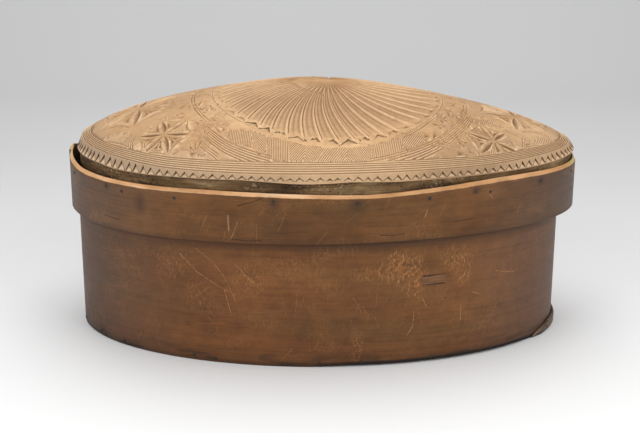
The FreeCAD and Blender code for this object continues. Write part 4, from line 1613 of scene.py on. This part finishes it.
def board_finish(name, warm, dark, pale, grey, sheen_start):
    """Stains, grain, pores, rubbed patches and a painted grey sheen at the ends, which the wall and the band
    share.
    """
    made = new_material(name)
    uv = board_uv()
    place = object_place()
    split = apart(place)

    # Broad stains, darker and lighter.
    broad = noise_of(uv, (5.0, 9.0, 1.0), 4.0, 0.6)
    colour = ramp(broad, ((0.30, dark), (0.52, warm), (0.72, pale)))
    olive = gate(mapped(uv, (3.6, 20.0, 1.0), (0, 0, 0), (1.3, 2.1, 0)), 1.0, 0.46, 0.66, 3.0)
    colour = mix(times(olive, 0.5), colour, OLIVE)
    # Painted sheen: the ends of the box are mixed towards grey, standing in for the grazing reflection of the
    # wax there.
    ends = size_of(minus(split[0], 0.004))
    sheen_share = span(ends, sheen_start, 0.235)
    sheen_share = times(sheen_share, plus(noise_of(uv, (22.0, 30.0, 1.0), 5.0, 0.65), 0.35), clamp=True)
    colour = mix(sheen_share, colour, grey)

    # Grain, long along the board.
    grain = noise_of(uv, (7.0, 260.0, 1.0), 5.0, 0.62, 0.5)
    colour = toned(colour, 0.38, grain, ((0.32, 0.62), (0.5, 0.97), (0.68, 1.22)))
    pores = noise_of(uv, (60.0, 1100.0, 1.0), 2.0, 0.5)
    colour = toned(colour, 0.6, pores, ((0.30, 0.72), (0.46, 1.0)))
    patina = noise_of(uv, (70.0, 85.0, 1.0), 6.0, 0.7)
    colour = toned(colour, 0.8, patina, ((0.35, 0.80), (0.5, 1.0), (0.66, 1.16)))
    # Patches where the wax is rubbed through, made of very fine hair lines.
    rubbed = gate(mapped(uv, (17.0, 26.0, 1.0), (0, 0, 0), (2.7, 0.4, 0)), 1.0, 0.53, 0.68, 4.0)
    hairs = noise_of(mapped(uv, (420.0, 190.0, 1.0), (0, 0, 0.9)), 1.0, 3.0, 0.7, 1.2)
    hairs = span(hairs, 0.44, 0.62)
    colour = mix(times(times(rubbed, hairs), 0.40), colour, RUBBED)
    return made, uv, place, split, colour, grain, patina


WARM = (0.152, 0.057, 0.0165)
DARK = (0.085, 0.031, 0.011)
PALE = (0.205, 0.086, 0.027)
SHEEN_GREY = (0.093, 0.057, 0.042)

aged_wall, uv, place, split, colour, grain, patina = board_finish(
    "old_waxed_board", WARM, DARK, PALE, SHEEN_GREY, 0.12)
SCRATCH = (0.42, 0.215, 0.108)
# Single scratches that show in front: width, then the places as x and z, all in millimetres.
WALL_SCRATCHES = (
    (0.35, (-122, 100), (-106, 84), (-84, 71), (-72, 66)),
    (0.35, (-107, 106), (-92, 95), (-82, 82), (-72, 60)), (0.30, (-82, 70), (-76, 46)),
    (0.30, (-72, 94), (-52, 74)), (0.45, (85, 50), (84, 36), (79, 27)),
    (0.5, (92, 62), (96, 54)), (0.35, (128, 50), (128, 36)), (0.35, (131, 98), (136, 84)),
    (0.35, (135, 84), (133, 74)), (0.45, (138, 62), (146, 58)), (0.35, (160, 78), (178, 73)))
BAND_SCRATCHES = (
    (1.0, (-76.5, 142), (-76, 129)), (0.35, (-68, 137), (-74, 122)), (0.7, (94, 144), (92, 138)),
    (0.5, (150, 152), (153, 149)), (0.3, (-95, 141), (-99, 131)))
# Dark cracks and torn edges of the band.
BAND_CRACKS = (
    (0.5, (-73, 121.3), (-60, 120.2)), (0.4, (-60, 120.2), (-47.5, 121.2)), (0.5, (53.5, 124.4), (64, 123.6)),
    (0.4, (64, 123.6), (74.7, 124.6)), (0.55, (-68, 151.2), (-56, 154.8)),
    (0.4, (-56, 154.8), (-46.5, 158.4)), (0.4, (-190, 128), (-176, 126.5)), (0.4, (118, 131), (136, 132.5)))
# Middle and half size of each hurt place as x and z, in millimetres, and how strong it is.
HURT_PLACES = (
    (73, 92, 24, 20, 1.5), (86, 78, 14, 22, 1.3), (45, 86, 22, 10, 0.8), (124, 96, 20, 15, 0.9),
    (128, 78, 10, 12, 0.8), (-62, 80, 26, 20, 0.55), (-128, 92, 26, 22, 0.45), (-104, 62, 22, 20, 0.4),
    (34, 20, 8, 22, 0.6), (-30, 96, 30, 12, 0.4))
# Cell size, angle, spread of angles and shift of the three layers of scratches in those places.
BUSY_SCRATCHES = ((4.6, 70, 30, 2.21), (6.4, 112, 26, 4.93), (8.0, 40, 30, 8.37))
GLOW = (0.32, 0.130, 0.036)
BARE_STROKE = (0.45, 0.215, 0.090)
CRACK = (0.018, 0.009, 0.006)
FOOT_DIRT_AND_SHADOW = (0.040, 0.022, 0.012)
SMUDGE = (0.022, 0.015, 0.011)
FOOT_SHADOW = (0.012, 0.008, 0.006)
PATCH_JOINT = (0.026, 0.014, 0.008)
RED_SCRATCH = (0.30, 0.095, 0.035)
# Cell size, angle, spread of angles, line width, bend, share kept, shift.
fine = scratches(uv, 7.0, 68, 26, 0.26, 0.7, 0.34, 3.13)
crossing = scratches(uv, 12.0, 118, 20, 0.26, 0.5, 0.24, 7.71)
along = scratches(uv, 26.0, 3, 8, 0.45, 0.15, 0.38, 1.37)
bold = scratches(uv, 46.0, 66, 22, 0.30, 0.5, 0.16, 5.93)
dashes = gate(place, 330.0, 0.40, 0.56, 2.0)
patchy = gate(uv, 26.0, 0.42, 0.62, 3.0)
fine = times(larger(fine, crossing), patchy)
# The places hurt most: a cluster of short scratches right of the middle and weaker ones beside.
hurt = largest(
    times(spot(place, (x * MM, -0.125, level * MM), (half_long * MM, 0.12, half_high * MM)), strength)
    for x, level, half_long, half_high, strength in HURT_PLACES)
busy = largest(scratches(uv, cell, degrees, spread, 0.30, 0.6, 0.70, shift)
               for cell, degrees, spread, shift in BUSY_SCRATCHES)
busy = times(busy, times(hurt, 1.6, clamp=True), clamp=True)
colour = mix(times(times(hurt, dashes), 0.36, clamp=True), colour, GLOW)
faint = larger(fine, bold)
scratch_all = largest([times(faint, 0.5), busy] + strokes(WALL_SCRATCHES))
scratch_all = times(scratch_all, plus(dashes, 0.30), clamp=True)
colour = mix(times(scratch_all, 0.80), colour, BARE_STROKE)
colour = mix(times(along, 0.35), colour, RED_SCRATCH)
colour = shaded(colour, grey_of(span(split[0], -0.10, -0.21, 1.0, 0.80)))
# Dirt along the foot, and painted shadow in the corner under the band.
low_dirt = span(split[2], 0.016, 0.0)
band_shadow = span(split[2], 0.106, 0.115, 0.0, 1.35)
dirt_and_band_shadow = larger(low_dirt, band_shadow)
dirt_and_band_shadow = times(dirt_and_band_shadow, plus(patina, 0.15), clamp=True)
colour = mix(times(dirt_and_band_shadow, 0.75), colour, FOOT_DIRT_AND_SHADOW)
smudge = gate(mapped(uv, (26.0, 120.0, 1.0), (0, 0, 0), (0.6, 0.2, 0)), 1.0, 0.50, 0.60, 4.0)
smudge = times(smudge, low_dirt)
colour = mix(times(smudge, 0.9), colour, SMUDGE)
# The foot's lowest edge is painted black right of the middle: a painted shadow of the gap where the wall has
# lifted.
up_board = apart(uv)[1]
painted_foot_shadow = span(up_board, 4.8 * MM, 3.0 * MM)
lifted = span(split[0], -0.02, 0.03, 0.35, 1.0)
colour = mix(times(painted_foot_shadow, lifted), colour, FOOT_SHADOW)
# A dark joint shows round the patch.
beside = math_of("LESS_THAN", size_of(minus(split[0], PATCH_X)), PATCH_LONG / 2 + 0.75 * MM)
level_with = math_of("LESS_THAN", size_of(minus(split[2], PATCH_LEVEL)), PATCH_HIGH / 2 + 0.95 * MM)
joint = times(times(beside, level_with), math_of("LESS_THAN", split[1], 0.0))
colour = mix(times(joint, 0.85), colour, PATCH_JOINT)
rough = span(patina, 0.3, 0.7, 0.42, 0.60)
relief = minus(times(grain, 0.8), times(scratch_all, 0.5))
relief = plus(relief, times(patina, 0.5))
finish_material(colour, rough, relief, 0.25 * MM, Specular_IOR_Level=0.22)

# %% [markdown]
# ## The band's finish
# The band shares the wall's colours, but its shaved top edge is bare wood the colour of honey,
# and dark stains sit round the nails. The worn edge is a number stored on the mesh's points.

# %% Finish for the band
BAND_WARM = (0.118, 0.047, 0.0125)
BAND_DARK = (0.062, 0.025, 0.009)
BAND_PALE = (0.172, 0.072, 0.021)
BAND_SHEEN_GREY = (0.090, 0.058, 0.042)
DARK_GRAIN = (0.055, 0.025, 0.012)
WAXED_EDGE = (0.46, 0.215, 0.070)
GREEN_TINGE = (0.50, 0.44, 0.15)
BAND_DIRT = (0.05, 0.024, 0.012)
NAIL_STAIN = (0.040, 0.020, 0.012)
aged_band, uv, place, split, colour, grain, patina = board_finish(
    "old_waxed_band", BAND_WARM, BAND_DARK, BAND_PALE, BAND_SHEEN_GREY, 0.13)
fine = scratches(uv, 13.0, 66, 26, 0.30, 0.30, 0.22, 4.61)
along = scratches(uv, 30.0, 2, 8, 0.5, 0.12, 0.42, 2.93)
fine = largest([times(fine, 0.5)] + strokes(BAND_SCRATCHES))
colour = mix(times(fine, 0.65), colour, SCRATCH)
colour = mix(times(along, 0.5), colour, DARK_GRAIN)
cracks = largest(strokes(BAND_CRACKS))
colour = mix(times(cracks, 1.4, clamp=True), colour, CRACK)
# Direction in degrees, level, half length and half height of the stains round the nails, in
# millimetres.
STAINS = ((260.0, 153.5, 9.0, 12.0), (277.0, 152.5, 12.0, 9.0), (228.6, 145.0, 8.0, 14.0),
          (303.5, 158.0, 7.0, 6.0), (324.3, 156.5, 7.0, 6.0), (217.3, 155.0, 6.0, 5.0))
marks = []
for degrees, level_mm, half_long, half_high in STAINS:
    x, y = oval_xy(band_oval, degrees / 360.0)
    size = (half_long * MM, half_long * MM, half_high * MM)
    marks.append(spot(place, (float(x), float(y), level_mm * MM), size))
stained = times(largest(marks), plus(patina, 0.45), clamp=True)
colour = mix(times(stained, 0.8), colour, NAIL_STAIN)
worn = stored("worn_edge")
worn = span(plus(worn, times(patina, 0.5)), 0.62, 0.86)
wide_tone = noise_of(uv, (13.0, 60.0, 1.0), 3.0, 0.55)
HONEY_TONES = ((0.32, (0.36, 0.165, 0.058)), (0.5, (0.60, 0.325, 0.150)), (0.68, (0.78, 0.50, 0.30)))
honey = ramp(wide_tone, HONEY_TONES)
# Right of the middle the edge has kept more of the old wax.
honey = mix(times(span(split[0], -0.02, 0.10), 0.5), honey, WAXED_EDGE)
honey = toned(honey, 0.7, patina, ((0.34, 0.72), (0.5, 1.0), (0.64, 1.12)))
# At both tips of the oval the bare edge has a green and yellow tinge.
tips = span(size_of(split[0]), 0.224, 0.240)
honey = mix(times(tips, 0.55), honey, GREEN_TINGE)
colour = mix(worn, colour, honey)
low_dirt = span(split[2], 0.123, 0.116)
colour = mix(times(low_dirt, 0.5), colour, BAND_DIRT)
rough = span(patina, 0.3, 0.7, 0.38, 0.56)
relief = minus(grain, times(fine, 0.5))
relief = minus(relief, times(along, 0.6))
finish_material(colour, rough, relief, 0.25 * MM, Specular_IOR_Level=0.22)

# %% [markdown]
# ## The carved board's finishes
# Carving catches dust in its cuts and loses colour on its ridges, so the tan wood is darkened by
# the depth of the cut and lightened on every ridge. Both are numbers on the mesh, written when
# the cuts were made. Along with the dust and the wear, they paint shade into the cuts and creases
# and a highlight along every ridge. The plain side was never polished: it is olive brown, cracked
# and pitted by woodworm. The hollow below is rough bare wood.

# %% Finishes for the carved board
CREST_BROWN = (0.38, 0.200, 0.084)
EDGE_GREY = (0.34, 0.245, 0.165)
CUT_BROWN_AND_SHADE = (0.215, 0.108, 0.045)
DUST_AND_SHADE = (0.155, 0.076, 0.032)
DEEP_DIRT_AND_SHADOW = (0.058, 0.030, 0.016)
LIT_EDGE = (0.72, 0.50, 0.30)
WORM_HOLE = (0.012, 0.007, 0.004)
CRUMBS = (0.33, 0.24, 0.145)
BAND_SHADE = (0.035, 0.020, 0.011)
SCALLOP = (0.16, 0.09, 0.045)
carved_wood = new_material("carved_wood")
place = object_place()
split = apart(place)
cut = stored("cut_depth")
ridge = stored("ridge")
broad = noise_of(place, (9.0, 14.0, 9.0), 4.0, 0.6)
CARVED_TONES = ((0.32, (0.335, 0.190, 0.084)), (0.5, (0.455, 0.270, 0.129)), (0.68, (0.56, 0.355, 0.182)))
colour = ramp(broad, CARVED_TONES)
crest = span(split[2], 0.223, 0.233)
colour = mix(times(crest, 0.30), colour, CREST_BROWN)
grain = noise_of(place, (11.0, 420.0, 420.0), 4.0, 0.6, 0.3)
colour = toned(colour, 0.3, grain, ((0.32, 0.78), (0.5, 1.0), (0.68, 1.10)))
speck = noise_of(place, (210.0, 260.0, 210.0), 4.0, 0.7)
colour = toned(colour, 0.8, speck, ((0.34, 0.82), (0.5, 1.0), (0.66, 1.10)))
# The lid's edge is greyer and dustier than the dome, most of all at the left.
edge_grey = span(split[2], 0.198, 0.180)
left_grey = span(split[0], 0.02, -0.20)
grey = times(edge_grey, plus(times(left_grey, 0.45), 0.35))
colour = mix(grey, colour, EDGE_GREY)
valley = stored("valley")
# Darker with the depth of the cut: dust in the cuts, and painted shade where the tones of the notch walls and
# the teeth are written.
hollow = span(cut, 0.35, 1.3)
colour = mix(times(hollow, 0.52), colour, CUT_BROWN_AND_SHADE)
# Dust, and painted shade, in the creases where the mesh lies lower than its neighbours.
dust_and_shade = span(valley, 0.28, 0.90)
dust_and_shade = times(dust_and_shade, plus(broad, 0.36), clamp=True)
dust_and_shade_share = span(split[2], 0.221, 0.230, 0.76, 0.40)
colour = mix(times(dust_and_shade, dust_and_shade_share), colour, DUST_AND_SHADE)
# Painted light: the dome's lower slope is made up to 17 % lighter near the middle of the front and back, and
# not at all towards the ends.
slope_light = span(size_of(split[0]), 0.06, 0.15, 1.17, 1.00)
lower = span(split[2], 0.222, 0.198, 1.0, slope_light)
colour = shaded(colour, grey_of(lower))
# Painted shadow on the notch walls and the teeth's undercut facets, and dirt in the deepest cuts.
deep = span(cut, 1.45, 1.85)
deep = times(deep, plus(speck, 0.40), clamp=True)
colour = mix(times(deep, 0.92), colour, DEEP_DIRT_AND_SHADOW)
# Ridges are lightened: partly wear, partly a painted highlight; the sills of the teeth get a painted
# highlight.
lit = span(ridge, 0.30, 0.90)
lit = times(lit, plus(speck, 0.35), clamp=True)
# The crest is rubbed smooth and brown.
rubbed = span(split[2], 0.2305, 0.2330, 1.0, 0.15)
lit = times(lit, rubbed)
colour = mix(times(lit, 0.90), colour, LIT_EDGE)
relief = plus(times(grain, 0.3), times(speck, 0.6))
finish_material(colour, 0.62, relief, 0.22 * MM, Specular_IOR_Level=0.28)

board_side = new_material("dry_board_side")
place = object_place()
split = apart(place)
broad = noise_of(place, (16.0, 16.0, 60.0), 5.0, 0.65)
SIDE_TONES = ((0.34, (0.040, 0.021, 0.009)), (0.5, (0.125, 0.068, 0.026)), (0.66, (0.250, 0.160, 0.078)))
colour = ramp(broad, SIDE_TONES)
grain = noise_of(place, (30.0, 30.0, 900.0), 4.0, 0.6, 0.6)
colour = toned(colour, 0.7, grain, ((0.35, 0.45), (0.5, 1.0), (0.65, 1.3)))
worm = cells_of(place, (260.0, 260.0, 330.0))
holes = span(worm, 0.20, 0.12)
holes = times(holes, gate(place, 38.0, 0.44, 0.54))
colour = mix(holes, colour, WORM_HOLE)
crumbs = times(gate(place, 360.0, 0.55, 0.66), gate(place, 30.0, 0.42, 0.58))
colour = mix(times(crumbs, 0.5), colour, CRUMBS)
shade = span(split[2], 0.1690, 0.1725)
colour = mix(times(shade, 0.55), colour, BAND_SHADE)
relief = minus(plus(grain, broad), times(holes, 1.5))
finish_material(colour, 0.75, relief, 0.6 * MM, Specular_IOR_Level=0.2)

hollow_wood = new_material("hollow_wood")
place = object_place()
broad = noise_of(place, (7.0, 16.0, 7.0), 4.0, 0.6)
HOLLOW_TONES = ((0.3, (0.26, 0.155, 0.080)), (0.5, (0.36, 0.225, 0.120)), (0.7, (0.45, 0.29, 0.16)))
colour = ramp(broad, HOLLOW_TONES)
grain = noise_of(place, (10.0, 300.0, 300.0), 4.0, 0.6, 0.3)
colour = toned(colour, 0.8, grain, ((0.33, 0.68), (0.5, 1.0), (0.66, 1.15)))
# A gouge leaves shallow scallops.
scallop = cells_of(place, (55.0, 110.0, 55.0))
colour = mix(times(scallop, 0.35), colour, SCALLOP)
relief = plus(times(scallop, 1.4), times(grain, 0.3))
finish_material(colour, 0.7, relief, 0.5 * MM, Specular_IOR_Level=0.25)

old_lath = new_material("grey_lath")
uv = board_uv()
streaks = noise_of(uv, (40.0, 700.0, 1.0), 4.0, 0.65, 0.8)
LATH_TONES = ((0.34, (0.030, 0.020, 0.014)), (0.5, (0.092, 0.060, 0.042)), (0.66, (0.185, 0.130, 0.095)))
colour = ramp(streaks, LATH_TONES)
finish_material(colour, 0.7, streaks, 0.5 * MM, Specular_IOR_Level=0.2)
patch_wood = new_material("patch_wood")
uv = board_uv()
streaks = noise_of(uv, (90.0, 900.0, 1.0), 4.0, 0.6, 0.4)
PATCH_TONES = ((0.34, (0.105, 0.047, 0.020)), (0.5, (0.160, 0.074, 0.031)), (0.66, (0.210, 0.104, 0.048)))
colour = ramp(streaks, PATCH_TONES)
finish_material(colour, 0.6, streaks, 0.2 * MM, Specular_IOR_Level=0.24)

body_wall.data.materials.append(aged_wall)
lid_band.data.materials.append(aged_band)
foot_lath.data.materials.append(old_lath)
wall_patch.data.materials.append(patch_wood)
for item in (carved_wood, board_side, hollow_wood):
    lid_board.data.materials.append(item)

# %% [markdown]
# ## The wooden pieces on their bodies
# Each dressed piece rides on the body that moves it and stands in for the plain solids of the
# model, which are hidden.

# %% Who rides on what
for piece, body, nodes, slot in (
        (body_wall, "base", ("body_wall",), "wall_wood"),
        (foot_lath, "base", ("foot_lath",), "wall_wood"),
        (wall_patch, "base", ("wall_patch",), "wall_wood"),
        (lid_band, "lid", ("lid_band",), "band_wood"),
        (lid_board, "lid", ("lid_top",), "carved_wood")):
    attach(piece, body)
    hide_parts(*nodes)

# %% [markdown]
# ## Nails
# The nails are small wrought iron sprigs with uneven heads, rusted nearly black. All of them are
# the same shape, so Geometry Nodes set one on every point of a small mesh that only holds the
# places and the directions. Size and turn vary a little from nail to nail with a fixed seed. The
# result is made into one plain mesh for the base and one for the lid.

# %% Where the nails go
BASE_NAIL_LEVEL = 4.5 * MM
LID_NAIL_LEVEL = 154.4 * MM
BASE_NAIL_SHARES = (0.09, 0.15, 0.20, 0.32, 0.38, 0.43, 0.49, 0.533, 0.575,
                    0.608, 0.67, 0.685, 0.751, 0.777, 0.823, 0.87)
LID_NAIL_SHARES = (0.02, 0.065, 0.115, 0.17, 0.225, 0.28, 0.335, 0.372, 0.55, 0.603,
                   0.619, 0.661, 0.722, 0.769, 0.812, 0.843, 0.854, 0.901, 0.955)
WALL_LAP_NAIL_SHARES = (0.14, 0.30, 0.46, 0.62, 0.74)
BAND_LAP_NAIL_SHARES = (0.25, 0.52, 0.78)
LATH_NAIL_SHARES = (0.945, 1.025)
LAP_NAIL_ALONG = 0.08
LID_NAIL_SUNK = -0.45 * MM
LAP_NAIL_OUT = 0.40 * MM


def nail_place(shape, share, out, level):
    x, y = oval_xy(shape, share, out)
    nx, ny = oval_normal(shape, share)
    return (float(x), float(y), level), (float(nx), float(ny), 0.0)


base_nails = [nail_place(wall_oval, share, 0.0, BASE_NAIL_LEVEL + dice.uniform(-1, 1) * MM)
              for share in BASE_NAIL_SHARES]
lap_nail_share = WALL_LAP_SHARE + lap_share * LAP_NAIL_ALONG
base_nails += [nail_place(wall_oval, lap_nail_share, WALL_LAP_OUT * 0.85, WALL_TOP * high)
               for high in WALL_LAP_NAIL_SHARES]
base_nails += [nail_place(wall_oval, share, LATH_CLEAR + LATH_THICK, BASE_NAIL_LEVEL)
               for share in LATH_NAIL_SHARES]
lid_nails = [nail_place(band_oval, share, LID_NAIL_SUNK, LID_NAIL_LEVEL + dice.uniform(-1.2, 1.8) * MM)
             for share in LID_NAIL_SHARES]
lid_nails += [nail_place(band_oval, BAND_LAP_SHARE - band_lap_share * LAP_NAIL_ALONG, LAP_NAIL_OUT,
                         BAND_FOOT + (BAND_TOP - BAND_FOOT) * high) for high in BAND_LAP_NAIL_SHARES]
print("nails:", len(base_nails), "in the base,", len(lid_nails), "in the lid")

# %% [markdown]
# ## The nail tree
# The head is a flattened seven-sided cone and the shank a thin one that points inwards. Instances
# are aligned to the stored direction, made real and given the iron, because instances would be
# lost in the export.

# %% Geometry Nodes for the nails


def random_number(number, low, high, seed):
    """Number between two limits that differs from nail to nail."""
    values = {"ID": number, "Seed": seed, 2: low, 3: high}
    return add("FunctionNodeRandomValue", values, data_type="FLOAT").outputs[1]


def nail_tree(iron):
    made = bpy.data.node_groups.new("nails", "GeometryNodeTree")
    start_tree(made)
    face = made.interface
    face.new_socket("Places", in_out="INPUT", socket_type="NodeSocketGeometry")
    sizes = {}
    for label, value in (("Head Width", 3.5 * MM), ("Head Rise", 0.75 * MM), ("Reach", 7.0 * MM)):
        sizes[label] = face.new_socket(label, in_out="INPUT", socket_type="NodeSocketFloat")
        sizes[label].default_value = value
    face.new_socket("Nails", in_out="OUTPUT", socket_type="NodeSocketGeometry")
    entry = add("NodeGroupInput").outputs
    head = add("GeometryNodeMeshCone", {
        "Vertices": 7, "Radius Top": times(entry["Head Width"], 0.28),
        "Radius Bottom": times(entry["Head Width"], 0.5), "Depth": entry["Head Rise"]})
    shank = add("GeometryNodeMeshCone", {"Vertices": 5, "Radius Top": 0.8 * MM, "Radius Bottom": 0.2 * MM,
                                         "Depth": entry["Reach"]})
    sunk = add("ShaderNodeCombineXYZ", {"Z": times(entry["Reach"], -1.0)}).outputs[0]
    moved = add("GeometryNodeTransform", {"Geometry": shank.outputs[0], "Translation": sunk})
    nail = add("GeometryNodeJoinGeometry", {0: moved.outputs[0]})
    fill(nail.inputs[0], head.outputs[0])
    # Each nail points the way its place says, and is turned a little about its own axis.
    facing = add("GeometryNodeInputNamedAttribute", {"Name": "facing"}, data_type="FLOAT_VECTOR").outputs[0]
    aligned = add("FunctionNodeAlignRotationToVector", {"Vector": facing}, axis="Z").outputs[0]
    number = add("GeometryNodeInputIndex").outputs[0]
    spin = add("ShaderNodeCombineXYZ", {"Z": random_number(number, 0.0, math.pi, 5)}).outputs[0]
    turn = add("FunctionNodeEulerToRotation", {0: spin}).outputs[0]
    turned = add("FunctionNodeRotateRotation", {0: aligned, 1: turn}, rotation_space="LOCAL").outputs[0]
    placed = add("GeometryNodeInstanceOnPoints", {
        "Points": entry[0], "Instance": nail.outputs[0], "Rotation": turned,
        "Scale": random_number(number, 0.78, 1.12, 11)})
    real = add("GeometryNodeRealizeInstances", {"Geometry": placed.outputs[0]})
    dressed = add("GeometryNodeSetMaterial", {"Geometry": real.outputs[0], "Material": iron})
    add("NodeGroupOutput", {0: dressed.outputs[0]})
    return made, {label: socket.identifier for label, socket in sizes.items()}


iron = new_material("rusted_iron")
place = object_place()
rust = noise_of(place, 900.0, 4.0, 0.7)
IRON_TONES = ((0.35, (0.012, 0.010, 0.009)), (0.55, (0.035, 0.024, 0.018)), (0.75, (0.10, 0.045, 0.02)))
colour = ramp(rust, IRON_TONES)
finish_material(colour, 0.6, rust, 0.2 * MM, Metallic=0.35)
tree_of_nails, size_names = nail_tree(iron)


def drive_nails(name, places, head_width):
    mesh = bpy.data.meshes.new(name)
    mesh.from_pydata([place for place, facing in places], [], [])
    layer = mesh.attributes.new("facing", "FLOAT_VECTOR", "POINT")
    layer.data.foreach_set("vector", np.array([facing for place, facing in places], np.float32).ravel())
    holder = new_object(name + "_places", mesh)
    step = holder.modifiers.new("nails", "NODES")
    step.node_group = tree_of_nails
    step[size_names["Head Width"]] = head_width
    bpy.context.view_layer.update()
    evaluated = holder.evaluated_get(bpy.context.evaluated_depsgraph_get())
    result = bpy.data.meshes.new_from_object(evaluated)
    result.name = name
    made = new_object(name, result)
    bpy.data.objects.remove(holder)
    print(name + ":", len(result.vertices), "points,", len(result.polygons), "faces")
    return made


base_iron = drive_nails("base_iron_nails", base_nails, 3.3 * MM)
lid_iron = drive_nails("lid_iron_nails", lid_nails, 3.7 * MM)
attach(base_iron, "base")
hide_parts("base_nails", "wall_lap_nails", "foot_lath_nails")
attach(lid_iron, "lid")
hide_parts("lid_nails", "lid_lap_nails")

# %% [markdown]
# ## Bottom board
# The bottom is one flat board, seen from below and when the lid is off. Its shape is right as
# the model has it, so only its finish is new: bare wood, dry, with the grain along the box and
# dust and dirt on it.

# %% Bottom
GRIME = (0.075, 0.045, 0.025)
bottom_wood = new_material("bottom_wood")
place = object_place()
rings = noise_of(place, (4.0, 30.0, 4.0), 5.0, 0.55, 0.8)
BOTTOM_TONES = ((0.3, (0.155, 0.088, 0.042)), (0.5, (0.235, 0.140, 0.070)), (0.7, (0.31, 0.195, 0.105)))
colour = ramp(rings, BOTTOM_TONES)
grain = noise_of(place, (9.0, 420.0, 90.0), 4.0, 0.6, 0.2)
colour = toned(colour, 0.85, grain, ((0.33, 0.66), (0.5, 1.0), (0.66, 1.15)))
colour = mix(times(gate(place, 11.0, 0.46, 0.66, 5.0), 0.55), colour, GRIME)
relief = plus(grain, times(rings, 0.4))
finish_material(colour, 0.72, relief, 0.25 * MM, Specular_IOR_Level=0.22)
bottom = frame["nodes"]["bottom_board"]
print("bottom board material slots:", len(bottom.data.materials))
for index in range(len(bottom.data.materials)):
    bottom.data.materials[index] = bottom_wood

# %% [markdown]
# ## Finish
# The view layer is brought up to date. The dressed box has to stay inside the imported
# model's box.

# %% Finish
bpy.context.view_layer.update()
